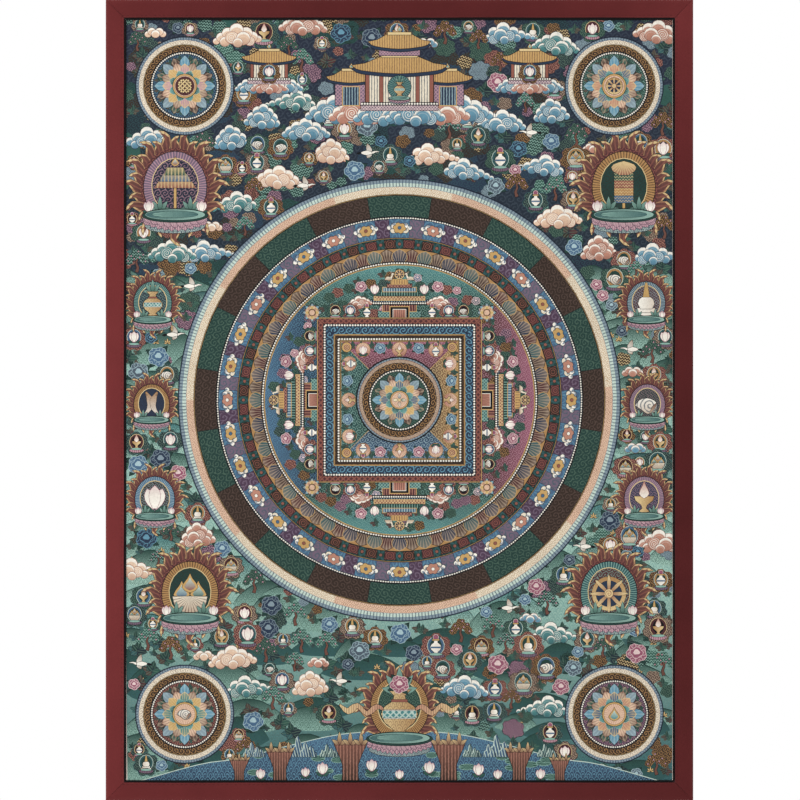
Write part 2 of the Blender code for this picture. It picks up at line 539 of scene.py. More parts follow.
def build_canvas(shapes, material):
    """The canvas: its painted front, plain back and cut edges, as one closed sheet."""
    flat, faces, owner, columns, rows = painted_mesh(shapes)
    spots = flat[faces]
    span = spots[:, 1] - spots[:, 0], spots[:, 2] - spots[:, 0]
    anticlockwise = span[0][:, 0] * span[1][:, 1] - span[0][:, 1] * span[1][:, 0] > 0
    faces = np.where(anticlockwise[:, None], faces, faces[:, ::-1])
    x, z = flat[:, 0] * MM, flat[:, 1] * MM + SHEET_MIDDLE
    front = np.stack([x, -CANVAS_FACE - forward(x, z), z], axis=1)
    gx, gz = np.meshgrid(columns * MM, rows * MM + SHEET_MIDDLE)
    back = np.stack([gx, CANVAS_FACE - forward(gx, gz), gz], axis=-1).reshape(-1, 3)
    wide, tall, base = len(columns), len(rows), len(front)
    at = base + np.arange(wide * tall).reshape(tall, wide)
    back_faces = np.stack([at[:-1, :-1], at[1:, :-1], at[1:, 1:], at[:-1, 1:]],
                          axis=-1).reshape(-1, 4)
    rim = [*at[0], *at[1:, -1], *at[-1, -2::-1], *at[-2:0:-1, 0]]
    place = {(round(px, 3), round(py, 3)): i for i, (px, py) in enumerate(flat)}
    spot = {i: (columns[(i - base) % wide], rows[(i - base) // wide]) for i in rim}
    mate = {i: place[tuple(round(c, 3) for c in spot[i])] for i in rim}
    sides = [(mate[i], i, j, mate[j]) for i, j in zip(rim, rim[1:] + rim[:1])]
    mesh = bpy.data.meshes.new("painted_canvas_cloth")
    mesh.from_pydata(np.concatenate([front, back]).tolist(), [],
                     faces.tolist() + back_faces.tolist() + sides)
    mesh.shade_smooth()
    colour, chart, ink = corner_paint(shapes, flat[faces], owner)
    count = len(mesh.loops)
    done = 3 * len(faces)
    plain = np.array([*linear("cotton"), 0.0])

    def whole(values, rest):
        out = np.tile(np.asarray(rest, float), (count, 1))
        out[:done] = values.reshape(done, -1)
        return out.ravel()

    for name, kind, key, values in (
        ("paint", "FLOAT_COLOR", "color", whole(colour, plain)),
        ("chart", "FLOAT_VECTOR", "vector", whole(chart, [0, 0, 0])),
        ("ink", "FLOAT_COLOR", "color", whole(ink, [0, 0, 0, 0])),
    ):
        mesh.attributes.new(name, kind, "CORNER").data.foreach_set(key, values)
    lay_out_for_baking(mesh, done)
    mesh.materials.append(material)
    mesh.validate()
    return placed(mesh)


def lay_out_for_baking(mesh, front_corners):
    """A flat layout that gives the painted face most of the room, and the back the strip beside."""
    at = np.array([v.co for v in mesh.vertices])
    corner = np.empty(len(mesh.loops), int)
    mesh.loops.foreach_get("vertex_index", corner)
    across = at[corner, 0] / SHEET_WIDTH + 0.5
    up = at[corner, 2] / SHEET_HEIGHT + 1
    share = SHEET_WIDTH / SHEET_HEIGHT
    u = 0.002 + across * share * 0.99
    v = 0.004 + up * 0.99
    rest = slice(front_corners, None)
    u[rest] = 0.74 + across[rest] * 0.255
    v[rest] = 0.004 + up[rest] * 0.255 / share
    layer = mesh.uv_layers.new(name="OFBake")
    layer.data.foreach_set("uv", np.stack([u, v], axis=1).ravel())


# ---------------------------------------------------------------- motifs


def halo(brush, radius, paint="sky", ray="gold", rays=24):
    """A round glory with rays."""
    brush.fill(oval(0, radius), paint, edge=0.45, lines=Lines("rays", 1, ray, 0.5, 0, rays))


def lotus_seat(brush, width, petal="pink", top="teal", petals=7):
    """A throne of two rows of lotus petals under an oval top with a dark green rim."""
    half = width / 2
    brush.fill(oval(-0.16j * width, half * 0.92, width * 0.11, 22), "slate",
               lines=Lines("scales", 2.6, "mist", 0.8))
    for row, reach in ((1, 0.24), (0, 0.19)):
        for k in range(petals + row):
            share = 2 * (k + 0.5) / (petals + row) - 1
            root = half * 0.72 * share + 0.02j * width
            tip = half * 1.04 * share - 1j * width * (reach - 0.13 * abs(share) ** 2)
            brush.fill(spindle(root, tip, width * 1.5 / petals, PETAL), petal, to="blush",
                       edge_paint="plum", lines=Lines("rays", 1, "plum", 0.6, root, 40))
    brush.fill(oval(0, half, width * 0.105), "pine")
    brush.fill(oval(0.012j * width, half * 0.9, width * 0.075), top, to="mint", edge=0.3,
               edge_paint="mint", across=(-half, half * 1.5))
    brush.fill(oval(0.016j * width, half * 0.7, width * 0.048), "aqua", to=top, edge=0.3,
               edge_paint="pine", across=(-half, half),
               lines=Lines("rays", 1, "teal", 0.6, 0.016j * width, 60))


def small_seat(brush, width, petal="pink", top="aqua"):
    """A lotus seat so small that its petals are only lines."""
    brush.fill(oval(-0.06j * width, width * 0.54, width * 0.17, 10), petal,
               lines=Lines("bars", width * 0.14, "maroon", 0.7))
    brush.fill(oval(0.04j * width, width * 0.42, width * 0.08, 8), top, edge=0.3)


def flames(brush, rx, ry, count, inner="maroon", outer="rust", length=0.36):
    """Tongues of fire all round an oval that lick upwards and curl at their tips."""
    lick = np.array([0, 0.24 + 0.10j, 0.5 - 0.01j, 0.74 - 0.06j, 0.91 + 0.05j, 1.0 + 0.22j])
    for k in sorted(range(count), key=lambda k: -math.cos(2 * math.pi * k / count)):
        way = toward(k / count + 0.25)
        foot = 0.84 * (rx * way.real + 1j * ry * way.imag)
        rising = way + 0.6j
        rising /= abs(rising)
        size = length * (rx + ry) * (0.92 if k % 2 else 0.66)
        path = lick if way.real < 0 else np.conj(lick)
        width = 2.2 * np.pi * (rx + ry) / 2 / count
        for part, paint, to in ((1.0, "ochre", "straw"), (0.78, inner, outer)):
            reach = foot + path * size * rising * (0.5 + 0.5 * part)
            brush.fill(stroke(reach, [width * part * w for w in (1.0, 1.1, 0.8, 0.35, 0.06)]),
                       paint, to=to, across=(foot, foot + 1.1 * size * rising),
                       edge=0.35 if part == 1.0 else 0,
                       lines=Lines("bars", 1j * rising * width * 0.4, "brick", 0.6, foot))
    brush.fill(oval(0, rx * 0.99, ry * 0.99), inner, edge=0,
               lines=Lines("curls", 3.8, "brick", 0.8))

FOLIAGE = (
    # leaf, vein, edge, pattern
    ("umber", "ochre", "rust", "curls"), ("bark", "sand", "umber", "curls"),
    ("pine", "sage", "night", "curls"), ("leaf", "aqua", "ink", "waves"),
    ("maroon", "coral", "rust", "curls"), ("pine", "aqua", "sage", "waves"),
    ("slate", "pale_sky", "navy", "scales"), ("umber", "straw", "bark", "waves"),
    ("plum", "pink", "ink", "curls"), ("night", "sage", "teal", "curls"),
)


SMALL_CLUMP = 7.0


def foliage(brush, radius, kind=2, lobes=7, flat=0.85):
    """A clump of leaves: a scalloped mound with curling veins. A small one has no edge."""
    leaf, vein, edge, pattern = FOLIAGE[kind]
    step = 4.0 if pattern == "curls" else 2.7
    small = radius < SMALL_CLUMP
    brush.fill(scalloped(0, radius, radius * flat, 5 if small else lobes, 0.20, 0.03), leaf,
               edge=0 if small else 0.45, edge_paint=edge,
               lines=Lines(pattern, step, vein, 0.8, -radius * 1j))


def leaf_cluster(brush, radius, paints=("pine", "bark", "leaf"), leaves=7, edge_paint="night"):
    """Broad pointed leaves that overlap round one twig. A small one has one less and no edges."""
    small = radius < SMALL_CLUMP
    for k in range(leaves - small):
        way = toward(k * 0.382 + 0.1)
        reach = radius * (1.0 if k % 2 else 0.72)
        brush.fill(spindle(0, reach * way, radius * 0.66, SHORT_LEAF if small else LEAF),
                   paints[k % len(paints)], to=edge_paint, across=(0.3 * reach * way, -0.2 * way),
                   edge=0 if small else 0.4, edge_paint=edge_paint,
                   lines=Lines("bars", 0.24j * radius * way, "sage", 0.5))


def spray(brush, length, leaf="leaf", vein="aqua", leaves=5, fan=0.5):
    """Pointed leaves spreading from one root, the outermost first."""
    brush = brush.moved(size=length)
    for k in sorted(range(leaves), key=lambda k: -abs(k - (leaves - 1) / 2)):
        share = k / (leaves - 1)
        tip = (1 - 0.3 * abs(2 * share - 1)) * toward(0.25 + fan * (share - 0.5))
        brush.fill(spindle(0, tip, 0.34, SHORT_LEAF), leaf, to=vein, across=(0, tip * 1.2),
                   edge=0.35)


def peony(brush, radius, heart="azure", rim="pale_sky", leaf="pine"):
    """A full flower in line and wash, on four leaves."""
    brush = brush.moved(size=radius)
    for turn in (0.08, 0.36, 0.58, 0.86):
        brush.fill(spindle(0, 1.6 * toward(turn), 0.95, SHORT_LEAF), leaf)
    brush.fill(scalloped(0, 1, 0.94, 5, 0.18, 0.02), heart, edge_paint=rim,
               lines=Lines("curls", 0.8, rim, 0.55, -0.4 - 0.4j))
    brush.fill(scalloped(0.08j, 0.58, 0.5, 4, 0.28, 0.1), heart, edge_paint=rim)
    brush.fill(scalloped(0.14j, 0.32, 0.26, 3, 0.3, 0.1), rim, edge=0)


def cloud(brush, core="sky", rim="ivory", dark="navy", kind=0):
    """A bank of rolled cloud: white rims, and a coloured heart that curls."""
    for k, (x, y, r) in enumerate(CLOUDS[kind]):
        at = x + 1j * y
        heart = k > 6
        lines = Lines("rim", r, rim, 1.0, at - (0.40 if heart else 0.66) * 1j * r)
        if k in (8, 9):
            lines = Lines("spiral", r * 0.3, rim, 0.75, at)
        brush.fill(oval(at, r * 1.06, r, 11), core, to=dark if heart else None,
                   across=(at + 0.2j * r, at - 2.6j * r), edge_paint=dark, lines=lines)


def small_bank(brush, core="peach", rim="ivory", dark="rust"):
    """A lesser cloud of five lobes."""
    for x, y, r in ((-8.6, -1.2, 3.4), (8.4, -1.0, 3.4), (-4.2, 1.8, 4.2), (4.4, 1.6, 4.2),
                    (0, -0.8, 4.4)):
        at = x + 1j * y
        brush.fill(oval(at, r * 1.08, r, 13), core, edge_paint=dark,
                   lines=Lines("rim", r, rim, 1.0, at - 0.55j * r))


def jewel(brush, radius, paint="turquoise", light="mist"):
    """A drop-shaped jewel in a gold setting."""
    brush = brush.moved(size=radius)
    brush.fill(spindle(-1j, 1.7j, 2.3, DROP), "gold", edge=0.35)
    brush.fill(spindle(-0.7j, 1.15j, 1.6, DROP), paint, to=light, edge=0)


def vase(brush, height, body="straw", band="turquoise"):
    """A round gold vase with a beaded band round it and leaves in its mouth."""
    brush = brush.moved(size=height)
    spray(brush.moved(0.94j), 0.55, fan=0.42)
    brush.fill(spindle(0, 1j, 0.78, VASE), body, to="ochre", across=(-0.3, 0.42), edge=0.5,
               gilt=1.0, lines=Lines("scales", 0.13, "rust", 0.55))
    brush.fill(block(0.36, 0.40, 0.55), band, edge=0.35, edge_paint="gold",
               lines=Lines("lattice", 0.13, "mist", 0.8))
    for low in (0.375, 0.55):
        brush.fill(block(0.34, low, low + 0.028), "ink", edge=0,
                   lines=Lines("pearls", 0.028, "ivory", 1.0, 1j * low))
    brush.fill(block(0.17, 0.74, 0.79), "brick", edge=0.3)


def conch(brush, length):
    """A white conch shell lying with its mouth to the right."""
    brush = brush.moved(size=length)
    body = smooth([-0.5, -0.34 + 0.2j, -0.05 + 0.3j, 0.28 + 0.2j, 0.42 - 0.02j,
                   0.3 - 0.26j, 0.0 - 0.34j, -0.2 - 0.2j], 2)
    brush.fill(body, "ivory", to="sand", across=(0.2j, -0.45j), edge=0.5,
               lines=Lines("spiral", 0.15, "slate", 0.8, 0.1))
    brush.fill(spindle(0.38 + 0.1j, 0.1 - 0.32j, 0.12, LEAF), "sand", to="rust", edge=0.3)


def knot(brush, half, cord="straw", ground="maroon"):
    """The endless knot: two sets of looped cords, laid over each other."""
    brush = brush.moved(size=half)
    brush.fill(oval(0, 1.45, count=18), ground, edge=0.3)
    width, step = 0.2, 0.5
    quarter = brush.moved(turn=0.125)
    for offset in (-step, 0, step):
        for way in (1, 1j):
            ends = [complex(offset, -0.95) * way, complex(offset, 0.95) * way]
            quarter.fill(stroke(ends, (width, width)), cord, edge=0.28, gilt=1.0)
    for k in range(4):
        for turn in (-0.09, 0.09):
            at = 0.98 * toward(k / 4 + 0.125 + turn)
            quarter.fill(oval(at, width * 0.85, count=8), cord, edge=0.28, gilt=1.0)


def wheel_of_eight(brush, radius, rim="straw", spoke="brick"):
    """A gold wheel with eight petal-shaped spokes."""
    brush = brush.moved(size=radius)
    brush.fill(oval(0, 1, count=22), rim, to="ochre", edge=0.35, gilt=1.0)
    brush.fill(oval(0, 0.76, count=20), "navy", edge=0.2)
    for way in turns(8):
        brush.fill(spindle(0, 1.12 * way, 0.2, PETAL), spoke, to="straw", across=(0, way),
                   edge=0.22)
    brush.fill(oval(0, 0.27, count=10), rim, edge=0.25,
               lines=Lines("spiral", 0.13, "brick", 0.8))


def parasol(brush, height, silk="brick", trim="straw"):
    """A silk parasol of three tiers, with a jewel on top."""
    brush = brush.moved(size=height)
    brush.fill(stroke([0, 0.7j], (0.05, 0.05)), "gold", edge=0.2)
    for k, paint in enumerate((silk, "azure", "leaf")):
        low, wide = 0.44 + 0.13 * k, 0.42 - 0.1 * k
        skirt = np.array([-wide + 1j * low, wide + 1j * low, 0.75 * wide + 1j * (low + 0.15),
                          -0.75 * wide + 1j * (low + 0.15)])
        brush.fill(skirt, paint, to=trim, across=(1j * low, 1j * (low + 0.3)), edge=0.25,
                   lines=Lines("bars", 0.07, trim, 0.6))
    jewel(brush.moved(0.95j), 0.07, "brick")


def banner(brush, height):
    """A victory banner: a tall banded drum under a small canopy."""
    brush = brush.moved(size=height)
    brush.fill(stroke([0, 0.9j], (0.05, 0.05)), "gold", edge=0.2)
    for k, paint in enumerate(("azure", "ochre", "brick", "leaf")):
        low = 0.14 + 0.15 * k
        brush.fill(block(0.19, low, low + 0.15), paint, edge=0.22,
                   lines=Lines("waves", 0.06, "straw", 0.6))
    brush.fill(spindle(0.7j, 0.98j, 0.5, PETAL), "brick", to="straw", edge=0.25,
               lines=Lines("rays", 1 / height, "straw", 0.6, 0.98j, 30))


def fish(brush, length, paint="ivory"):
    """One of a pair of golden fish, head up, bowed to its left."""
    brush = brush.moved(size=length)
    path = smooth([-0.12 - 0.5j, 0.1 - 0.2j, 0.12 + 0.15j, -0.05 + 0.5j], 3)
    brush.fill(stroke(path, (0.04, 0.2, 0.27, 0.06)), paint, to="ochre", edge=0.3,
               lines=Lines("scales", 0.08, "rust", 0.6))
    for turn in (0.62, 0.78):
        tip = -0.12 - 0.46j + 0.2 * toward(turn)
        brush.fill(spindle(-0.1 - 0.44j, tip, 0.12, LEAF), "coral", to="straw", edge=0.22)
    brush.fill(oval(-0.01 + 0.37j, 0.025, count=5), "ink", edge=0)


def stupa(brush, height, body="ivory"):
    """A small white shrine: steps, a dome and a spire."""
    brush = brush.moved(size=height)
    for low, half in ((0, 0.36), (0.13, 0.27)):
        brush.fill(block(half, low, low + 0.13), body, to="sand", across=(0, 0.4))
    brush.fill(spindle(0.24j, 0.68j, 0.50, ((0, 0.7), (0.35, 1.0), (0.65, 0.85), (0.9, 0.3))),
               body, to="sand", across=(-0.1, 0.5))
    brush.fill(spindle(0.6j, 1.04j, 0.2, ((0, 1.0), (1, 0.3))), "gold", edge=0.3, gilt=1.0)


def bud(brush, height, paint="blush"):
    """A closed lotus on a short stem between two leaves."""
    brush = brush.moved(size=height)
    for side in (-1, 1):
        brush.fill(spindle(0.02j, complex(side * 0.42, 0.22), 0.24, LEAF), "leaf", edge=0.35)
    for side in (-1, 1, 0):
        brush.fill(spindle(0.16j, complex(0.26 * side, 0.92 - 0.12 * abs(side)), 0.38, PETAL),
                   "ivory", to=paint, across=(0.5j, 1j), edge=0.35, edge_paint="rose")


def lamp(brush, height):
    """A butter lamp: a gold cup on a foot, with a flame."""
    brush = brush.moved(size=height)
    brush.fill(spindle(0, 0.56j, 0.66, CUP), "straw", to="ochre", across=(-0.2, 0.3), gilt=1.0)
    brush.fill(spindle(0.5j, 1.06j, 0.32, DROP), "ivory", to="coral", edge_paint="brick")


def drum_of_jewels(brush, height):
    """A bowl heaped with three jewels."""
    brush = brush.moved(size=height)
    for at, paint in ((-0.2 + 0.5j, "azure"), (0.2 + 0.5j, "leaf"), (0.68j, "brick")):
        jewel(brush.moved(at), 0.17, paint)
    brush.fill(arc(0.42j, 0.42, 0.5, 1.0, 8), "cream", to="sand", across=(0.42j, 0),
               lines=Lines("rays", 1 / height, "maroon", 0.6, 0.42j, 30))


def small_shell(brush, height):
    """A conch that stands on its place."""
    conch(brush.moved(0.42j * height), 0.95 * height)


def small_vase(brush, height):
    """A white vase with a blue band, a gold rim and a flower in its mouth."""
    brush = brush.moved(size=height)
    for lean in (-0.16, 0.16):
        tip = (0.98 + 0.24 * toward(0.25 + lean).imag) * 1j
        brush.fill(spindle(0.8j, tip + 1.6 * lean, 0.2, LEAF), "leaf", edge=0.3)
    brush.fill(oval(1.02j, 0.16, count=8), "rose", edge=0.35, edge_paint="blush")
    brush.fill(spindle(0, 0.9j, 0.66, VASE), "ivory", to="sand", across=(0.12, 0.6), edge=0.45)
    brush.fill(block(0.31, 0.36, 0.46), "azure", edge=0)
    brush.fill(block(0.2, 0.82, 0.9), "gold", edge=0.3)


SMALL_OFFERINGS = (stupa, bud, small_shell, drum_of_jewels, stupa, lamp, small_vase, bud, lamp)


def votive(brush, kind, height=11.0, glow="sky", ground=0):
    """A small offering before a round glory, on a lotus seat among curling leaves."""
    warm = glow == "maroon"
    foliage(brush.moved(0.4j * height), 0.74 * height, ground, 7, 0.92)
    glory = brush.moved(size=height)
    glory.fill(oval(0.52j, 0.47, 0.52, 13), glow, edge_paint="straw" if warm else "mist",
               lines=Lines("rays", 1 / height, "ink", 0.35, 0.52j, 30))
    glory.fill(oval(0.54j, 0.34, 0.39, 10), "ink" if warm else "pine", edge=0)
    kind(brush.moved(0.04j * height), height * 0.94)
    small_seat(brush, 0.92 * height, "pink" if warm else "mauve")


def scarf(brush, length, paint="coral", lining="straw"):
    """A ribbon that floats in three waves."""
    brush = brush.moved(size=length)
    path = smooth([0, 0.2 + 0.12j, 0.42 - 0.03j, 0.62 + 0.14j, 0.82 + 0.02j, 1.0 + 0.16j], 3)
    brush.fill(stroke(path, (0.02, 0.12, 0.08, 0.15, 0.03)), paint, to=lining, across=(0, 1),
               lines=Lines("bars", 0.05, "maroon", 0.5))


def crane(brush, span):
    """A white bird in flight, seen from the side."""
    brush = brush.moved(size=span / 2)
    for wing in (1, -0.55):
        tip = complex(-0.25, 0.85 * wing)
        brush.fill(spindle(0.12, tip + 0.1, 0.5, FEATHER), "ivory", to="sand", across=(0, tip),
                   lines=Lines("rays", 2 / span, "slate", 0.6, 0.3, 50))
    brush.fill(spindle(-0.8, 0.5, 0.42, LEAF), "ivory")
    neck = smooth([0.3, 0.62 + 0.12j, 0.95 + 0.1j], 3)
    brush.fill(stroke(neck, (0.2, 0.11, 0.03)), "ivory", edge=0.35)
    brush.fill(spindle(-0.7, -1.15 - 0.08j, 0.22, LEAF), "ink", edge=0.2)


def rocks(brush, width, paint="azure", cap="mist"):
    """A stack of sharp rocks: each rises in steps, pale along its lit side."""
    for x, half, top in ((-0.34, 0.17, 0.40), (0.34, 0.18, 0.36), (-0.1, 0.22, 0.70),
                         (0.15, 0.19, 0.48), (-0.24, 0.12, 0.26)):
        crag = (x + half * np.array([-1, -0.82, -0.46, -0.3, -0.02, 0.3, 0.5, 0.86, 1])
                + 1j * top * np.array([0, 0.42, 0.5, 0.9, 1, 0.78, 0.5, 0.4, 0])) * width
        brush.fill(crag, paint, to="night", across=((x - 0.4 * half) * width,
                                                    (x + 1.5 * half) * width),
                   edge=0.45, edge_paint="night",
                   lines=Lines("bars", 0.085 * width * (1 + 0.22j), cap, 0.75))
        brush.fill(stroke(crag[:5], (0.2, 0.7, 0.8, 0.6, 0.2)), cap, edge=0)


def ribbed_root(brush, height):
    """A stump that flares at its top into ribs, like the side of a great seed pod."""
    brush = brush.moved(size=height)
    left = smooth([-0.22, -0.2 + 0.45j, -0.34 + 0.82j, -0.42 + 1.0j], 2)
    outline = np.concatenate([left, [-0.2 + 1.06j, 0.0 + 1.0j, 0.2 + 1.06j], -np.conj(left)[::-1]])
    brush.fill(outline, "umber", to="rust", across=(0, 1j), edge=0.5,
               lines=Lines("bars", 0.085, "coral", 0.55))
    for x in (-0.28, 0.0, 0.28):
        spray(brush.moved(complex(x, 0.98)), 0.34, "rust", "straw", 3, 0.3)


def tree(brush, height, kind=2, bloom="pink"):
    """A leaning trunk under round clumps of leaves, with a few blossoms."""
    trunk = np.array([0, 0.06 + 0.2j, -0.02 + 0.42j, 0.04 + 0.6j]) * height
    brush.fill(stroke(trunk, (0.14 * height, 0.09 * height, 0.05 * height)), "rust",
               lines=Lines("bars", 0.05 * height, "umber", 0.6))
    for at, r in ((-0.34 + 0.46j, 0.15), (0.36 + 0.5j, 0.16), (-0.2 + 0.66j, 0.19),
                  (0.22 + 0.7j, 0.19), (0.86j, 0.19)):
        foliage(brush.moved(at * height), r * height, kind, 6)
    for at in (-0.38 + 0.5j, -0.24 + 0.72j, -0.1 + 0.6j, 0.08 + 0.92j, 0.14 + 0.66j,
               0.3 + 0.78j, 0.4 + 0.48j):
        brush.fill(oval(at * height, 0.035 * height, count=6), bloom, edge=0.25)


# ---------------------------------------------------------------- the great wheel


def ring(brush, radius, paint, count=None, **more):
    """A whole disc, of which the next ring leaves a band to see."""
    brush.fill(oval(0, radius, count=count), paint, **{"edge": 0.5, **more})


def banded(brush, radius, paint, pattern, ink, strength, band, **more):
    """A ring with fine lines round it: its band is (inner, outer, repeats)."""
    ring(brush, radius, paint, lines=Lines(pattern, 1, ink, strength), polar=(0, *band), **more)


def pearled(brush, radius, band):
    """A ring of pearls on a dark ground."""
    banded(brush, radius, "ink", "pearls", "ivory", 1.0, band)


def petal_ring(brush, inner, outer, count, paints, tips="ivory"):
    """Lotus petals standing side by side round a ring, each second one behind its neighbours."""
    width = 2 * np.pi * outer / count
    for behind in (1, 0):
        for k in range(behind, count, 2):
            way = toward(k / count)
            brush.fill(spindle(inner * way, outer * way, width * 1.16, PETAL),
                       paints[k % len(paints)], to=tips,
                       across=(0.96 * outer * way, 1.05 * outer * way),
                       edge=0.45, edge_paint="ink" if behind else "gold",
                       lines=Lines("rays", 1, tips, 0.55, 0.96 * inner * way, 34))


def scroll_band(brush, radius, count, size):
    """White and gold cloud scrolls set round a blue ring, each with a jewel at its heart."""
    for k in range(count):
        spot = brush.moved(radius * toward(k / count), size, k / count - 0.25)
        for x, y, r in ((-1.5, 0.12, 0.36), (1.5, 0.12, 0.36), (-0.92, -0.3, 0.44),
                        (0.92, -0.3, 0.44), (-0.8, 0.38, 0.46), (0.8, 0.38, 0.46)):
            at = complex(x, y)
            spot.fill(oval(at, r * 1.1, r, 8), "ivory" if y > 0 else "cream",
                      lines=Lines("spiral", size * 0.2, "azure", 0.8, at))
        spot.fill(scalloped(0.05j, 0.78, 0.66, 6, 0.24, 0.05), ("gold", "coral", "gold")[k % 3],
                  gilt=0.6, lines=Lines("rings", size * 0.24, "rust", 0.7, 0.05j))
        spot.fill(oval(0.1j, 0.26, 0.24, 7), ("brick", "ivory", "azure")[k % 3], edge=0.25)


PALACE_WALLS = (
    # half_side, paint, pattern, step, ink, strength
    (77.0, "gold", "bars", 1.0, "rust", 0.0),
    (76.2, "maroon", "lattice", 5.0, "brick", 0.95),
    (71.2, "ink", "pearls", 2.5, "ivory", 1.0),
    (68.7, "navy", "curls", 7.2, "sky", 0.95),
    (61.5, "gold", "bars", 1.0, "rust", 0.0),
    (60.7, "umber", "bars", 2.8j, "ochre", 0.9),
    (58.2, "ink", "pearls", 2.5, "ivory", 1.0),
    (55.7, "gold", "bars", 1.0, "rust", 0.0),
    (55.1, "ink", "bars", 1.0, "ink", 0.0),
)

GATE_STEPS = (
    # height above the wall, half_width, paint, ink
    (0.0, 20.0, "teal", "aqua"), (6.0, 15.5, "maroon", "coral"), (12.5, 27.0, "indigo", "pale_sky"),
    (16.5, 23.5, "brick", "straw"), (20.5, 19.5, "pine", "aqua"), (24.5, 15.5, "azure", "mist"),
    (28.2, 11.5, "maroon", "coral"), (31.6, 7.5, "gold", "rust"),
)
GATE_TOP = 35.4


def gate(brush, wall):
    """One of the four gates: a porch with a stepped arch that stands on the palace wall."""
    tops = [low for low, *_ in GATE_STEPS[1:]] + [GATE_TOP]
    for k, ((low, half, paint, ink), high) in enumerate(zip(GATE_STEPS, tops)):
        brush.fill(block(half, wall + low, wall + high), paint, edge=0.6,
                   edge_paint="gold" if k % 2 else "ink",
                   lines=Lines("bars", 2.4, ink, 0.75) if k % 3 else
                   Lines("lattice", 3.0, ink, 0.8))
    brush.fill(block(27, wall + 12.5, wall + 14.6), "ink", edge=0.3,
               lines=Lines("pearls", 2.1, "ivory", 1.0, 1j * (wall + 12.5)))
    brush.fill(block(8.5, wall - 9, wall + 10), "ink", edge=0.8, edge_paint="gold")
    brush.fill(block(5.8, wall - 9, wall + 7.6), "brick", to="coral", edge=0.5,
               edge_paint="ivory", lines=Lines("bars", 1.9, "maroon", 0.7))
    porch = brush.moved(1j * wall)
    wheel_of_eight(porch.moved(40.6j), 4.6)
    for half in porch.both_sides():
        crouched_deer(half.moved(10.4 + 35.2j, 8.4))
        cloud(half.moved(38 + 13j, 0.52, -0.03), "coral", dark="brick")
        bud(half.moved(23.2 + 20.6j), 11.5)
        peony(half.moved(36 + 29j), 4.4, "rose", "blush")
        small_vase(half.moved(30.5 + 0.6j), 10.5)
        votive(half.moved(46 + 1.6j), bud, 9.6, "azure", 4)
        votive(half.moved(60 + 1.6j), small_shell, 9.6, "maroon", 2)


def crouched_deer(brush):
    """A resting deer that looks back over the way it came, one unit long."""
    body = smooth([0.42, 0.2 + 0.34j, -0.15 + 0.36j, -0.4 + 0.22j, -0.42], 2)
    brush.fill(body, "sand", to="cream", edge=0.25)
    neck = smooth([-0.28 + 0.2j, -0.42 + 0.48j, -0.4 + 0.72j], 2)
    brush.fill(stroke(neck, (0.24, 0.14, 0.12)), "cream", edge=0.2)
    brush.fill(spindle(-0.36 + 0.74j, -0.66 + 0.66j, 0.17, LEAF), "cream", edge=0.2)
    brush.fill(spindle(-0.36 + 0.78j, -0.18 + 0.98j, 0.08, LEAF), "sand", edge=0.2)


QUARTER_TURNS = (0.0, 0.25, 0.5, 0.75)

COURTS = (
    # paint, to, ink
    ("maroon", "rose", "pink"), ("pine", "teal", "aqua"), ("navy", "azure", "pale_sky"),
    ("bark", "ochre", "straw"),
)


def palace(brush):
    """The square palace in the wheel: gates, banded walls, four coloured courts, a round shrine."""
    for turn in QUARTER_TURNS:
        gate(brush.moved(turn=turn), PALACE_WALLS[0][0])
    for half, paint, pattern, step, ink, strength in PALACE_WALLS:
        lines = Lines(pattern, step * 1j, ink, strength, half) if strength else None
        for turn in QUARTER_TURNS:
            brush.moved(turn=turn).fill([0, half - 1j * half, half + 1j * half], paint, edge=0.3,
                                        lines=lines)
    for turn, court in zip(QUARTER_TURNS, COURTS):
        palace_court(brush.moved(turn=turn), *court)
    for corner in range(4):
        spot = brush.moved((49.4 + 49.4j) * 1j**corner, turn=0.125 + corner / 4)
        spot.fill(oval(0, 4.6), "gold", edge=0.5, gilt=1.0)
        spot.fill(oval(0, 3.3), "brick", edge=0, lines=Lines("spiral", 1.4, "straw", 0.9))
    ring(brush, 40.4, "ink")
    banded(brush, 39.6, "steel", "bars", "navy", 0.6, (37.6, 39.6, 90), edge=0.4)
    banded(brush, 37.8, "sand", "curls", "rust", 0.7, (34.4, 37.8, 60), edge=0.4,
           edge_paint="rust")
    banded(brush, 34.4, "umber", "curls", "ochre", 0.8, (28.8, 34.4, 34))
    pearled(brush, 28.8, (26.6, 28.6, 72))
    ring(brush, 26.6, "pine", lines=Lines("curls", 4.0, "sage", 0.6))
    lotus_of_eight(brush, 25.6, 7.4)


def palace_court(court, paint, to, ink):
    """One coloured quarter of the palace, with leaves, offerings and flowers along its wall."""
    court.fill([0, 54.4 + 54.4j, -54.4 + 54.4j], paint, to=to, across=(30j, 56j), edge=0.5,
               edge_paint="gold", lines=Lines("curls", 5.0, ink, 0.6))
    for x in (-44, -36, -26, -9, 9, 26, 36, 44):
        leaf_cluster(court.moved(x + 50.4j), 5.2, ("pine", "leaf", "bark"), 6)
    for at, small in ((-34 + 46.6j, bud), (47j, lamp), (34 + 46.6j, small_vase)):
        spot = court.moved(at)
        spot.fill(oval(0.4j, 6.4), "coral", to="peach", across=(-4j, 4j), edge=0.5,
                  edge_paint="ochre", lines=Lines("rays", 1, "brick", 0.7, 0.4j, 24))
        small(spot.moved(-5.4j), 10.4)
    flower = ("rose", "blush") if paint == "navy" else ("azure", "pale_sky")
    for x in (-18, 18):
        peony(court.moved(x + 48.4j), 4.3, *flower)


SMALL_LOTUS = 12  # up to this radius it has fewer rows


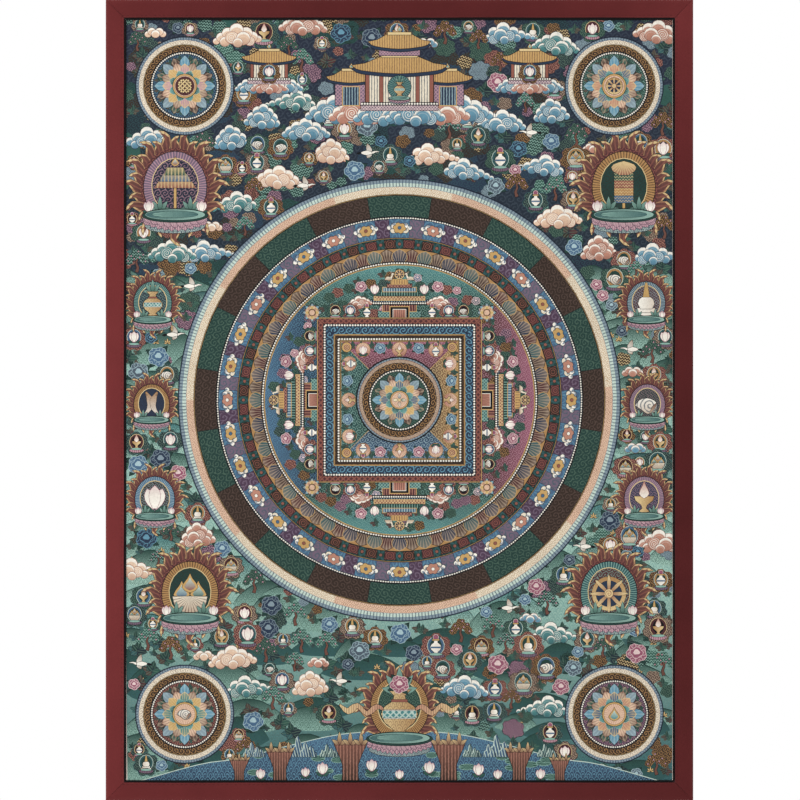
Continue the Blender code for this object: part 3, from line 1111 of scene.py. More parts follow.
def lotus_of_eight(brush, outer, heart, petals=("azure", "gold"), emblem=None):
    """An open lotus from above in five rows of petals, with a moon disc at its heart.

    A small one has three rows.
    """
    rows = (
        # half a step on, reach, root, width, paints, edge
        (1, 0.98, 0.30, 0.34, ("bark", "leaf"), "sand"),
        (0, 1.00, 0.36, 0.34, ("sky", "steel"), "pale_sky"),
        (1, 0.80, 0.30, 0.30, ("peach", "sand"), "rust"),
        (0, 0.72, 0.24, 0.31, petals, "straw"),
        (1, 0.52, 0.20, 0.25, ("turquoise", "teal"), "aqua"),
    )
    open_lotus = brush.moved(size=outer)
    for shift, reach, root, width, paints, edge in rows if outer > SMALL_LOTUS else rows[1:4]:
        for k, way in enumerate(turns(8, shift / 16)):
            tip = reach * way
            open_lotus.fill(spindle(root * way, tip, width, PETAL), paints[k % 2],
                            to=edge, across=(0.86 * tip, 1.1 * tip), edge=0.42,
                            edge_paint="ink" if width > 0.32 else edge,
                            lines=Lines("rays", 1 / outer, edge, 0.5, root * way * 0.6, 36))
    brush.fill(oval(0, heart * 1.16), "gold", edge=0.5)
    brush.fill(oval(0, heart), "peach", edge=0.3, edge_paint="rust",
               lines=Lines("rays", 1, "coral", 0.7, 0, 30))
    if emblem:
        emblem(brush)
    else:
        cross_of_thunderbolts(brush, heart * 0.86)


def cross_of_thunderbolts(brush, reach):
    """Four budded bolts about a round boss."""
    brush = brush.moved(size=reach)
    for k, paint in enumerate(("azure", "straw", "brick", "leaf")):
        brush.moved(turn=k / 4).fill(spindle(0, 1j, 0.5, BOLT), paint, to="cream", edge=0.25)
    brush.fill(oval(0, 0.22, count=8), "straw", edge=0.25, gilt=1.0)


WHEEL_RADIUS = 207.0

GARDENS = (
    # heart, rim, curls
    ("pine", "turquoise", "aqua"), ("navy", "azure", "sky"), ("pine", "turquoise", "aqua"),
    ("maroon", "rose", "pink"),
)


def wheel_rim(brush):
    """The rings round the palace, from the outermost in."""
    ring(brush, WHEEL_RADIUS, "navy")
    banded(brush, 206.3, "steel", "bars", "navy", 0.6, (203, 206.3, 420), edge=0)
    banded(brush, 203.4, "mist", "bars", "slate", 0.75, (199.4, 203.4, 420), edge=0.3,
           edge_paint="azure")
    banded(brush, 199.6, "peach", "curls", "brick", 0.75, (192.4, 196.0, 320), edge=0.3,
           edge_paint="steel")
    for k in range(5):
        start = (k + 0.05) / 5
        brush.fill(ring_sector(192.4, 199.4, start, start + 0.09, 9), "cream", edge=0,
                   lines=Lines("curls", 1, "ochre", 0.8), polar=(0, 192.4, 196.0, 320))
    ring(brush, 192.4, "gold")
    banded(brush, 191.6, "umber", "curls", "bark", 1.0, (171.6, 178.3, 168))
    for k in range(10):
        brush.fill(ring_sector(172.0, 191.2, (k + 0.25) / 10, (k + 0.75) / 10, 14), "pine",
                   lines=Lines("curls", 1, "sage", 0.42), polar=(0, 171.6, 178.3, 168))
    pearled(brush, 171.6, (169.4, 171.4, 460))
    banded(brush, 169.4, "azure", "scales", "sky", 0.6, (160.2, 169.4, 110))
    for k in range(32):
        paint, ink = (("plum", "mauve"), ("mauve", "slate"))[k % 2]
        brush.fill(ring_sector(152.0, 169.0, (k + 0.3) / 32, (k + 0.7) / 32, 4), paint,
                   edge_paint="navy", lines=Lines("curls", 1, ink, 0.9),
                   polar=(0, 151.6, 160.5, 128))
    scroll_band(brush, 160.6, 32, 6.2)
    ring(brush, 151.6, "gold")
    banded(brush, 150.8, "pine", "lattice", "teal", 0.8, (141, 151, 180))
    for k in range(52):
        brush.fill(ring_sector(142.4, 149.6, (k + 0.22) / 52, (k + 0.78) / 52, 3),
                   "umber" if k % 2 else "maroon", edge=0.5,
                   lines=Lines("rings", 1.8, "brick", 0.8, 146 * toward((k + 0.5) / 52)))
        brush.fill(oval(146 * toward(k / 52), 1.5, count=6), "brick", edge=0.3)
    ring(brush, 141.4, "ochre")
    petal_ring(brush, 127.0, 141.0, 72, ("teal", "maroon", "navy", "bark"), "sand")
    pearled(brush, 129.4, (127.0, 129.2, 330))
    ring(brush, 127.0, "gold")
    ring(brush, 126.2, "teal", edge=0.4)
    wedge = [0, *arc(0, 126.0, 0.125, 0.375, 18)]
    for turn, (heart, rim, curl) in zip(QUARTER_TURNS, GARDENS):
        brush.moved(turn=turn).fill(wedge, heart, to=rim, across=(88j, 126j), edge_paint="gold",
                                    lines=Lines("curls", 4.4, curl, 0.6))


def wheel_garden(brush):
    """Leaves, clouds, flowers and offerings between the palace and the rim."""
    chance = random.Random(9)
    spots = []
    for at in scattered(chance, spots, 3.8, (-122, -122, 122, 122), 1000):
        if abs(at) < 119 and max(abs(at.real), abs(at.imag)) > 79:
            pick = chance.random()
            if pick < 0.3:
                leaf_cluster(brush.moved(at), 5.6, ("pine", "maroon", "leaf"), 6)
            elif pick < 0.78:
                foliage(brush.moved(at), 4.9, chance.choice((0, 2, 2, 4, 8, 9)), 6)
            elif pick < 0.86:
                peony(brush.moved(at), 3.2, chance.choice(("azure", "rose", "slate")), "blush")


def great_wheel(brush):
    """The wheel that fills the middle of the sheet."""
    wheel_rim(brush)
    wheel_garden(brush)
    palace(brush)
    for way in turns(4, 0.125):
        lotus_of_eight(brush.moved(115.6 * way, turn=0.125), 8.6, 2.6, ("coral", "gold"),
                       lambda b: None)


# ---------------------------------------------------------------- round the wheel


def roundel(brush, radius, ground, glow, petals, emblem):
    """A lesser wheel: ribbed rim, petals, beads and an open lotus with an emblem."""
    r = radius
    ring(brush, r, "navy")
    banded(brush, r - 0.6, "steel", "bars", "navy", 0.7, (r - 2.9, r - 0.6, 110), edge=0)
    banded(brush, r - 2.8, "cream", "curls", "rust", 0.6, (r - 7.4, r - 2.8, 56),
           edge_paint="azure")
    ring(brush, r - 7.4, "gold")
    banded(brush, r - 8.2, "umber", "curls", "ochre", 0.8, (r - 13.8, r - 8.2, 40))
    pearled(brush, r - 13.8, (r - 16.2, r - 14.0, 92))
    ring(brush, r - 16.2, ground, lines=Lines("curls", 4.2, glow, 0.6))
    for way in turns(16, 1 / 32):
        leaf_cluster(brush.moved((r - 21) * way), 4.6, leaves=5)
    lotus_of_eight(brush, r * 0.62, r * 0.21, petals, emblem)


ROUNDELS = (
    # across, up, radius, ground, glow, petals, emblem
    (-201, 294, 46, "navy", "sky", ("pink", "gold"), lambda b: knot(b, 6.0)),
    (201, 294, 46, "pine", "aqua", ("coral", "azure"), lambda b: wheel_of_eight(b, 7.8)),
    (-201, -294, 46, "maroon", "coral", ("turquoise", "gold"), lambda b: conch(b, 14)),
    (201, -294, 46, "plum", "pink", ("azure", "coral"), lambda b: jewel(b.moved(-1.6j), 4.6)),
)


def roof(brush, wide, high, paint="gold"):
    """A curved temple roof with upturned eaves, a dark soffit, a ridge and a finial."""
    edge = smooth([-0.56 + 0.3j, -0.44 + 0.08j, 0.0 - 0.06j, 0.44 + 0.08j, 0.56 + 0.3j], 3)
    eave = edge.real * wide + 1j * edge.imag * high * 1.4
    top = np.array([0.4 * wide + 0.55j * high, 0.2 * wide + 1j * high,
                    -0.2 * wide + 1j * high, -0.4 * wide + 0.55j * high])
    brush.fill(np.concatenate([eave - 0.22j * high, top]), "navy", edge=0.5)
    brush.fill(np.concatenate([eave, top]), paint, edge=0.5, gilt=1.0,
               lines=Lines("bars", 2.3, "rust", 0.7))
    brush.fill(block(0.21 * wide, 0.92 * high, 1.1 * high), "straw")
    jewel(brush.moved(1.3j * high), 0.1 * high + 0.6, "turquoise")


def pavilion(brush):
    """A three-roofed palace on a bank of cloud, with a vase in its hall."""
    for x in (-60, 60, -38, 38, -15, 15):
        core, dark = ("coral", "brick") if abs(x) == 38 else ("sky", "navy")
        cloud(brush.moved(x - 12j + abs(x) * 0.05j, 1.2), core, dark=dark)
    for wing in brush.both_sides():
        wing.fill(rectangle(30 - 2j, 60 + 20j), "mauve", edge=0.6,
                  lines=Lines("lattice", 3.4, "pink", 0.8))
        wing.fill(rectangle(38 - 2j, 53 + 15j), "navy", edge=0.8, edge_paint="gold",
                  lines=Lines("bars", 2.6, "pale_sky", 0.7))
        roof(wing.moved(45 + 20j), 42, 11)
    brush.fill(block(32, -2, 29), "cream", edge=0.5, lines=Lines("bars", 2.6, "slate", 0.8))
    for x in (-30, -17, 17, 30):
        brush.fill(block(1.6, -2, 29, x), "brick", edge=0.5, edge_paint="umber")
    brush.fill(block(36, -7, -2), "mauve", edge=0.5, lines=Lines("lattice", 2.8, "blush", 0.8))
    brush.fill(block(36, -2, 0.6), "ink", edge=0.3,
               lines=Lines("pearls", 2.6, "ivory", 1.0, -2j))
    roof(brush.moved(29j), 80, 15)
    brush.fill(block(19, 44.5, 53), "mauve", edge=0.5, lines=Lines("lattice", 2.8, "pink", 0.8))
    roof(brush.moved(52j), 52, 13)
    halo(brush.moved(15j), 11, "teal", "aqua", 30)
    vase(brush.moved(6.5j), 13)
    lotus_seat(brush.moved(4.5j), 20)


def lake(brush):
    """A lotus lake between rocks, with a great vase of plenty rising from it."""
    shore = smooth([-275 - 50j, -190 - 26j, -150 - 20j, -104 - 8j, -54 + 3j, 0 + 6j, 54 + 3j,
                    104 - 8j, 150 - 20j, 190 - 26j, 275 - 50j], 4)
    brush.fill(shore, "navy", to="azure", across=(-44j, 4j), edge=0.7, edge_paint="mist",
               lines=Lines("scales", 5.2, "sky", 0.8))
    chance = random.Random(3)
    for _ in range(34):
        at = complex(chance.uniform(-145, 145), chance.uniform(-40, -2))
        if at.imag < -0.12 * abs(at.real):
            brush.fill(oval(at, chance.uniform(5, 8), 2.6, 12), "leaf", edge_paint="aqua",
                       lines=Lines("rays", 1, "aqua", 0.6, at, 12))
    for x, size in ((-92, 28), (94, 30), (-66, 17), (68, 17), (-136, 20), (138, 18)):
        rocks(brush.moved(x - 18j), size, "teal" if size < 20 else "azure")
    for x, height in ((46, 36), (112, 29), (150, 21)):
        for side in (-x, x):
            ribbed_root(brush.moved(side - 42j), height)
    for at, size in ((-26 - 33j, 14), (28 - 35j, 14), (-72 - 36j, 14), (74 - 37j, 14), (-40j, 11),
                     (-88 - 38j, 11), (92 - 40j, 11), (-130 - 40j, 12), (132 - 40j, 12)):
        bud(brush.moved(at), size, "pink")
    flames(brush.moved(28j), 28, 31, 24)
    brush.fill(oval(28j, 27, 30), "ochre", edge=0.6, lines=Lines("rays", 1, "umber", 0.8, 28j, 90))
    brush.fill(oval(30j, 20, 23), "pine", edge=0.8, edge_paint="straw",
               lines=Lines("curls", 4.4, "sage", 0.7))
    for half in brush.both_sides():
        scarf(half.moved(12 + 24j), 44)
    vase(brush.moved(1j), 44)
    peony(brush.moved(50j), 7.5, "rose", "blush")
    lotus_seat(brush.moved(-1j), 62, petals=13)


def two_fish(brush, length):
    """Two golden fish that cross each other."""
    fish(brush.moved(15j - 5), length)
    fish(brush.moved(15j + 5, mirror=True), length)


SIDE_EMBLEMS = (
    # across, up, size, emblem, glow, ray, ground
    (-210, 178, 1.5, lambda b: parasol(b, 31), "mauve", "pink", "indigo"),
    (210, 178, 1.5, lambda b: banner(b, 31), "ochre", "umber", "pine"),
    (-231, 78, 0.90, lambda b: vase(b, 26), "teal", "aqua", "indigo"),
    (231, 78, 0.90, lambda b: stupa(b, 34), "slate", "pale_sky", "maroon"),
    (-232, -16, 0.84, lambda b: two_fish(b, 26), "ochre", "umber", "navy"),
    (232, -16, 0.84, lambda b: conch(b.moved(13j), 27), "mauve", "pink", "pine"),
    (-229, -106, 0.94, lambda b: bud(b, 30), "azure", "pale_sky", "umber"),
    (229, -106, 0.94, lambda b: lamp(b, 30), "mauve", "pink", "navy"),
    (-196, -200, 1.34, lambda b: drum_of_jewels(b, 29), "ochre", "umber", "pine"),
    (196, -200, 1.34, lambda b: wheel_of_eight(b.moved(14j), 12), "teal", "aqua", "maroon"),
)


def shrine(brush, emblem, glow, ray, ground):
    """A large offering in a ring of fire on a lotus throne."""
    flames(brush.moved(14j), 22, 25, 26)
    brush.fill(oval(14j, 19.6, 22.4), glow, edge=0.6, lines=Lines("rays", 1, ray, 0.8, 14j, 72))
    brush.fill(oval(15j, 14.4, 17), ground, edge=0.7, edge_paint="straw",
               lines=Lines("curls", 4.2, ray, 0.5))
    emblem(brush)
    for half in brush.both_sides():
        spray(half.moved(9.5 - 1j), 9.5, fan=0.4)
        bud(half.moved(16.5 - 2.5j), 9.0, "pink")
    lotus_seat(brush.moved(-3.5j), 41, petals=9)


def mound(brush, half, height, foot, top):
    """A rounded hill, dark along its crest and pale towards its foot."""
    crest = smooth([-1.0, -0.8 + 0.45j, -0.38 + 0.9j, 0.06 + 1.0j, 0.5 + 0.72j, 0.82 + 0.34j, 1.0],
                   2)
    crest = crest.real * half + 1j * crest.imag * height
    low = smooth([half, 0.5 * half - 0.3j * height, -0.5 * half - 0.3j * height, -half], 3)
    brush.fill([*crest, *low[1:-1]], foot, to=top, across=(-0.1j * height, 1j * height), edge=0,
               lines=Lines("scales", 4.2, "pine" if top != "pine" else "leaf", 0.8))
    brush.fill(stroke(crest, (0.1, 1.0, 1.1, 0.1)), "pine", edge=0)


HILL_PAINTS = (
    # crest, foot
    ("pine", "mint"), ("leaf", "aqua"), ("teal", "mint"), ("pine", "aqua"), ("turquoise", "mint"),
)


def ground_painting(brush):
    """Dark sky above, green hills at the sides and water at the foot."""
    brush.fill(rectangle(-263 - 363j, 263 + 363j), "night", to="indigo", across=(60j, 330j),
               edge=0, lines=Lines("curls", 8.0, "slate", 0.3))
    chance = random.Random(21)
    for _ in range(110):
        spot = brush.moved(complex(chance.uniform(-262, 262), chance.uniform(60, 362)))
        spot.fill(scalloped(0, chance.uniform(9, 19), chance.uniform(7, 13), 5, 0.2),
                  chance.choice(("pine", "navy", "umber", "indigo", "night", "leaf", "umber")),
                  edge=0, lines=Lines("curls", 5.0, "teal", 0.5))
    meadow = smooth([-263 + 84j, -150 + 100j, 0 + 90j, 150 + 100j, 263 + 84j], 3)
    brush.fill([*meadow, 263 - 363j, -263 - 363j], "teal", to="mint", across=(-345j, -165j),
               edge=0, lines=Lines("scales", 5.2, "turquoise", 0.5))
    for y in np.arange(104, -352, -14.5):
        for x in ((-235, -150, -60, 30, 120, 210) if y < -150 else (-242, -196, 196, 242)):
            x += chance.uniform(-30, 30)
            half, height = chance.uniform(20, 44), chance.uniform(12, 26)
            top, foot = chance.choice(HILL_PAINTS)
            if y < -225:
                top, foot = "pine", "teal" if foot == "aqua" else "aqua"
            up = y + chance.uniform(-9, 9)
            spot = brush.moved(complex(x, up), mirror=chance.random() < 0.5)
            mound(spot, half, height, foot, top)
            for _ in range(chance.randrange(3)):
                tuft = complex(chance.uniform(-0.6, 0.6) * half, chance.uniform(0.1, 0.6) * height)
                spray(spot.moved(tuft), 4.6, *chance.choice((("gold", "straw"), ("pine", "leaf"))))


def free_spot(chance, spots, radius, box, tries=60):
    """A random place in a box that lies clear of the wheel and of what is there already."""
    left, low, right, high = box
    for _ in range(tries):
        at = complex(chance.uniform(left, right), chance.uniform(low, high))
        if all(abs(at - p) > radius + r for p, r in spots):
            return at
    return None


def scattered(chance, spots, radius, box, wanted):
    """As many free places as are wanted and found, the highest first."""
    found = []
    for _ in range(wanted):
        at = free_spot(chance, spots, radius, box)
        if at is not None:
            spots.append((at, radius))
            found.append(at)
    return sorted(found, key=lambda p: -p.imag)


def undergrowth(brush):
    """Clumps of leaves all over the dark ground, as thick as a wood."""
    chance = random.Random(5)
    spots = [(0j, WHEEL_RADIUS - 4)]
    clumps = (("pine", "bark", "leaf"), ("pine", "teal", "night"), ("bark", "umber", "maroon"))
    for radius, wanted in ((9.0, 200), (6.4, 380), (4.4, 300)):
        for at in scattered(chance, spots, radius * 0.68, (-260, -348, 260, 360), wanted):
            spot = brush.moved(at, turn=chance.uniform(-0.05, 0.05))
            pale_ground = at.imag < 70
            if chance.random() < (0.44 if pale_ground else 0.3):
                leaf_cluster(spot, radius * 1.05, clumps[chance.randrange(3)])
            elif chance.random() < (0.42 if pale_ground else 1.0):
                foliage(spot, radius, chance.randrange(len(FOLIAGE)), chance.choice((6, 7, 8)))


def small_things(brush):
    """Clouds, flowers, trees and small offerings wherever there is room."""
    chance = random.Random(11)
    spots = [(0j, WHEEL_RADIUS + 1)]
    spots += [(complex(x, y), r + 1.0) for x, y, r, *_ in ROUNDELS]
    spots += [(complex(x, y + 12 * size), 26 * size) for x, y, size, *_ in SIDE_EMBLEMS]
    spots += [(complex(x, 300), 30) for x in (-52, 0, 52)] + [(complex(0, 262), 20)]
    spots += [(complex(x, 306), 19) for x in (-122, 122)]
    spots += [(complex(x, -330), 32) for x in (-100, -50, 0, 50, 100)] + [(-290j, 46)]
    plan = (
        # radius, wanted, box, kinds
        (15, 24, (-250, 130, 250, 350), "cloud"),
        (15, 9, (-250, -330, 250, 120), "cloud"),
        (10, 70, (-248, -344, 248, 346), "tree peony votive tree crane"),
        (8.2, 190, (-249, -346, 249, 348), "votive votive votive bank votive tree peony"),
        (5.6, 260, (-251, -350, 251, 352), "votive peony clump clump"),
    )
    jobs = []
    for radius, wanted, box, kinds in plan:
        for at in scattered(chance, spots, radius, box, wanted):
            jobs.append((at, radius, chance.choice(kinds.split())))
    for at, radius, kind in sorted(jobs, key=lambda job: -job[0].imag):
        spot = brush.moved(at, mirror=chance.random() < 0.5)
        if kind == "cloud":
            core, dark = chance.choice((("sky", "navy"), ("coral", "rust"), ("turquoise", "night"),
                                        ("sky", "indigo"), ("peach", "brick")))
            cloud(spot.moved(size=radius / 15.5, turn=chance.uniform(-0.02, 0.02)), core,
                  dark=dark, kind=chance.randrange(len(CLOUDS)))
        elif kind == "peony":
            heart, rim = chance.choice((("rose", "blush"), ("azure", "pale_sky"),
                                        ("navy", "sky"), ("slate", "pale_sky"), ("navy", "steel")))
            peony(spot, radius * 0.82, heart, rim)
        elif kind == "tree":
            tree(spot.moved(-0.9j * radius), radius * 2.1, chance.choice((0, 2, 3, 5)))
        elif kind == "clump":
            leaf_cluster(spot, radius * 1.1, ("pine", "leaf", "bark"))
        elif kind == "crane":
            crane(spot, radius * 2.0)
        elif kind == "bank":
            small_bank(spot.moved(size=radius / 10), chance.choice(("peach", "sky", "coral")))
        else:
            votive(spot.moved(-0.8j * radius), chance.choice(SMALL_OFFERINGS), radius * 1.66,
                   chance.choice(("azure", "maroon", "teal", "ochre")),
                   chance.choice((0, 1, 2, 4, 9)))


def small_pavilion(brush):
    """A gold-roofed hall with a pleated curtain, on a low cloud."""
    for x, core, dark in ((-15, "sky", "navy"), (15, "sky", "navy"), (0, "coral", "brick")):
        cloud(brush.moved(x - 9j, 0.72), core, dark=dark)
    brush.fill(block(17, -3, 15), "cream", edge=0.5, lines=Lines("bars", 2.4, "slate", 0.8))
    for x in (-16, 16):
        brush.fill(block(1.3, -3, 15, x), "brick")
    brush.fill(block(20, -6, -2.6), "mauve", lines=Lines("lattice", 2.6, "blush", 0.8))
    brush.fill(block(20, -2.6, -0.4), "ink", edge=0.3,
               lines=Lines("pearls", 2.2, "ivory", 1.0, -2.6j))
    roof(brush.moved(14.6j), 46, 11)
    votive(brush.moved(-1j), bud, 12, "azure", 0)


def paint_everything():
    """The whole painting, from its ground up."""
    brush = Brush()
    ground_painting(brush)
    undergrowth(brush)
    small_things(brush)
    lake(brush.moved(-316j))
    for x in (-122, 122):
        small_pavilion(brush.moved(complex(x, 302)))
    pavilion(brush.moved(278j))
    for x, y, size, emblem, glow, ray, ground in SIDE_EMBLEMS:
        shrine(brush.moved(complex(x, y), size), emblem, glow, ray, ground)
    for x, y, radius, ground, glow, petals, emblem in ROUNDELS:
        roundel(brush.moved(complex(x, y)), radius, ground, glow, petals, emblem)
    great_wheel(brush)


# ---------------------------------------------------------------- materials


class Term:
    """A number in a material, worked out with plain arithmetic."""

    def __init__(self, tree, socket):
        self.tree = tree
        self.socket = socket

    def of(self, operation, *others):
        node = self.tree.nodes.new("ShaderNodeMath")
        node.operation = operation
        for slot, value in zip(node.inputs, (self, *others)):
            feed(self.tree, slot, value)
        return Term(self.tree, node.outputs[0])

    def __add__(self, other):
        return self.of("ADD", other)

    def __sub__(self, other):
        return self.of("SUBTRACT", other)

    def __mul__(self, other):
        return self.of("MULTIPLY", other)

    def __truediv__(self, other):
        return self.of("DIVIDE", other)

    def floor(self):
        return self.of("FLOOR")

    def share(self):
        """What is left over past the last whole number."""
        return self.of("FRACT")

    def squared(self):
        return self * self

    def held(self):
        """The number, held between 0 and 1."""
        return self.of("MAXIMUM", 0.0).of("MINIMUM", 1.0)

    def off_whole(self):
        """How far the number lies from the nearest whole one."""
        return ((self + 0.5).share() - 0.5).of("ABSOLUTE")


def feed(tree, slot, value):
    """Links or sets one socket of a node."""
    if isinstance(value, Term):
        tree.links.new(value.socket, slot)
    elif isinstance(value, bpy.types.NodeSocket):
        tree.links.new(value, slot)
    else:
        slot.default_value = value


def add_node(tree, kind, **inputs):
    """A new shader node with these inputs fed or set."""
    node = tree.nodes.new("ShaderNode" + kind)
    for name, value in inputs.items():
        feed(tree, node.inputs[name.replace("_", " ")], value)
    return node


def surface(name, **constants):
    """A new material: its node tree, its shader, and the place of each point on its piece."""
    material = bpy.data.materials.new(name)
    material.use_nodes = True
    tree = material.node_tree
    shader = tree.nodes["Principled BSDF"]
    for socket, value in constants.items():
        shader.inputs[socket.replace("_", " ")].default_value = value
    return material, tree, shader, tree.nodes.new("ShaderNodeTexCoord").outputs["Object"]


def even_tone(tree, tone):
    """The same number for all three channels of a colour."""
    return add_node(tree, "CombineXYZ", X=tone, Y=tone, Z=tone).outputs[0]


def finish_surface(tree, shader, colour, strength, depth, height):
    """Links a surface's colour and its fine relief."""
    feed(tree, shader.inputs["Base Color"], colour)
    bump = add_node(tree, "Bump", Strength=strength, Distance=depth, Height=height)
    feed(tree, shader.inputs["Normal"], bump.outputs[0])


def noise(tree, where, scale, detail=2.0):
    """Soft noise with a mean of about one half."""
    made = add_node(tree, "TexNoise", Vector=where, Scale=scale, Detail=detail)
    return Term(tree, made.outputs[0])


def blended(tree, share, first, second, mode="MIX"):
    """Two colours mixed by a share, or in another of the mix node's modes."""
    node = tree.nodes.new("ShaderNodeMix")
    node.data_type = "RGBA"
    node.blend_type = mode
    for slot, value in zip((0, 6, 7), (share, first, second)):
        feed(tree, node.inputs[slot], value)
    return node.outputs[2]


def attribute(tree, name):
    """The node that reads a named attribute of the mesh."""
    node = tree.nodes.new("ShaderNodeAttribute")
    node.attribute_name = name
    return node


def parts(tree, vector):
    """The three parts of a vector."""
    split = add_node(tree, "SeparateXYZ", Vector=vector)
    return [Term(tree, split.outputs[i]) for i in range(3)]


def weave(tree, place, thread):
    """Threads that pass over and under, from 0 in the gaps to 1 on top, in a plane of x and z."""
    x, _, z = parts(tree, place)
    across, up = x / (2 * thread), z / (2 * thread)
    odd = (across.of("FLOOR") + up.of("FLOOR")).of("MODULO", 2.0).of("ABSOLUTE")
    warp = (across * 2).off_whole() * -2 + 1
    weft = (up * 2).off_whole() * -2 + 1
    return warp * odd + weft * (odd * -1 + 1)


def line_kinds(u, v, repeats):
    """For each pattern of fine lines, a number that is whole where a line runs."""
    whole_turn = 2 * math.pi
    far = (u.squared() + v.squared()).of("SQRT")
    turn = v.of("ARCTAN2", u) / whole_turn
    shifted = u + v.floor() * 0.5
    scale_u, scale_v = shifted.share() * 2 - 1, v.share()
    curl_u, curl_v = shifted.share() - 0.5, v.share() - 0.5
    curl_far = (curl_u.squared() + curl_v.squared()).of("SQRT")
    return {
        "bars": u,
        "rings": far,
        "rays": turn * repeats,
        "scales": (scale_u.squared() + scale_v.squared()).of("SQRT") * 2,
        "curls": curl_far * 2.7 - curl_v.of("ARCTAN2", curl_u) / whole_turn,
        "spiral": far - turn,
        "waves": v + (u * whole_turn).of("SINE") * 0.25,
        "lattice": (u + v).off_whole().of("MINIMUM", (u - v).off_whole()),
    }


def broad_kinds(u, v):
    """For each pattern of broad touches, its share of ink: a white rim, or round pearls."""
    far = (u.squared() + v.squared()).of("SQRT")
    across, up = u.share() - 0.5, v.share() - 0.5
    off = (across.squared() + up.squared()).of("SQRT")
    echo = ((far - 0.74).of("ABSOLUTE") * -1 + 0.07).held() * 9.0
    return {"rim": ((far - 0.92) / 0.22).held() + echo.held() * 0.5,
            "pearls": ((off * -1 + 0.36) / 0.1 + 0.5).held()}


LINE_WIDTH = 0.17  # half a fine line, as a share of its repeat
LINE_FADE = 0.12  # how softly it ends

# Unevenness: the scale of each noise
HAND_SHAKE, BRUSH_PRESSURE, WASHES, PAINT_GRAIN = 420.0, 260.0, 34.0, 620.0
BLOTCHES, SLUBS, FIBRES = 22.0, 1400.0, 1800.0

# Thickness of the threads, and how high a surface stands, in metres
CANVAS_THREAD, BINDING_THREAD = 0.00042, 0.00030
CLOTH_RELIEF, FIBRE_RELIEF = 0.00012, 0.00008

BINDING_RED = (0.142, 0.0243, 0.0250, 1.0)
BINDING_WORN = (0.235, 0.062, 0.058, 1.0)
SEWING_RED = (0.105, 0.020, 0.021, 1.0)
BRAID_BLACK = (0.0120, 0.0100, 0.0110, 1.0)


def painted_cotton():
    """Mineral paint with fine brush lines and gold on primed cotton, bare where no paint is."""
    material, tree, shader, place = surface("painted cotton", Metallic=0.0,
                                            Specular_IOR_Level=0.14)
    paint, chart, ink = (attribute(tree, name) for name in ("paint", "chart", "ink"))
    u, v, kind = parts(tree, chart.outputs["Vector"])
    number = (kind + 0.0001).floor()
    repeats = ((kind - number) * 1000 + 0.5).floor()
    unsteady = noise(tree, place, HAND_SHAKE, 1.0) - 0.5
    pressure = noise(tree, place, BRUSH_PRESSURE, 2.0)
    along = None
    for name, lines in line_kinds(u + unsteady * 0.34, v + unsteady * 0.26, repeats).items():
        here = number.of("COMPARE", float(PATTERNS[name]), 0.1) * lines
        along = here if along is None else along + here
    fine = number.of("COMPARE", 4.5, 4.1)  # any of the patterns from bars to lattice
    drawn = ((along.off_whole() * -1 + LINE_WIDTH) / LINE_FADE + 0.5).held() * fine
    for name, touches in broad_kinds(u, v).items():
        drawn = drawn + number.of("COMPARE", float(PATTERNS[name]), 0.1) * touches
    strength = Term(tree, ink.outputs["Alpha"]) * (pressure * 1.1 + 0.45)
    colour = blended(tree, (drawn * strength).held(), paint.outputs["Color"], ink.outputs["Color"])
    washes = noise(tree, place, WASHES, 4.0) * 0.34 + noise(tree, place, PAINT_GRAIN, 2.0) * 0.44
    washes = washes + 0.61
    tone = add_node(tree, "CombineXYZ", X=washes * 1.012, Y=washes, Z=washes * 0.968).outputs[0]
    colour = add_node(tree, "HueSaturation", Saturation=0.86, Value=1.01, Color=colour).outputs[0]
    colour = blended(tree, 1.0, colour, tone, "MULTIPLY")
    threads = weave(tree, place, CANVAS_THREAD)
    gilt = Term(tree, paint.outputs["Alpha"])
    bare = (gilt * -1).held()
    gold = gilt.held()
    feed(tree, shader.inputs["Metallic"], gold * 0.35)
    feed(tree, shader.inputs["Roughness"], gold * -0.22 + bare * 0.22 + pressure * 0.10 + 0.60)
    height = threads * (bare * 0.5 + 0.5) + pressure * 0.3 + drawn * strength * 0.25
    finish_surface(tree, shader, colour, 0.35, CLOTH_RELIEF, height)
    return material


def red_cloth():
    """Plain woven dark red cotton, rubbed along its fold, with light and shade painted along each
    strip.
    """
    material, tree, shader, place = surface("dark red cotton", Roughness=0.9, Sheen_Weight=0.05,
                                            Sheen_Roughness=0.5, Specular_IOR_Level=0.08)
    painted_light = Term(tree, attribute(tree, "painted_light").outputs["Fac"])
    rubbed = Term(tree, attribute(tree, "rubbed").outputs["Fac"])
    blotches = noise(tree, place, BLOTCHES, 3.0)
    slubs = noise(tree, place, SLUBS, 1.0)
    threads = weave(tree, place, BINDING_THREAD)
    # The cloth's tone carries the painted light and shade along each strip, over its blotches, slubs
    # and weave
    shade = even_tone(tree, painted_light * (blotches * 0.34 + slubs * 0.26 + threads * 0.16 + 0.60))
    colour = blended(tree, (rubbed * (slubs * 1.4 - 0.2)).held(), BINDING_RED, BINDING_WORN)
    finish_surface(tree, shader, blended(tree, 1.0, colour, shade, "MULTIPLY"),
                   0.6, CLOTH_RELIEF, threads + slubs * 0.5)
    return material


def thread_material(name, paint, roughness):
    """Spun thread: one colour, a little uneven along its fibres."""
    material, tree, shader, place = surface(name, Roughness=roughness, Specular_IOR_Level=0.12)
    fibres = noise(tree, place, FIBRES, 2.0)
    shade = even_tone(tree, fibres * 0.8 + 0.6)
    finish_surface(tree, shader, blended(tree, 1.0, paint, shade, "MULTIPLY"),
                   0.5, FIBRE_RELIEF, fibres)
    return material


# ---------------------------------------------------------------- binding


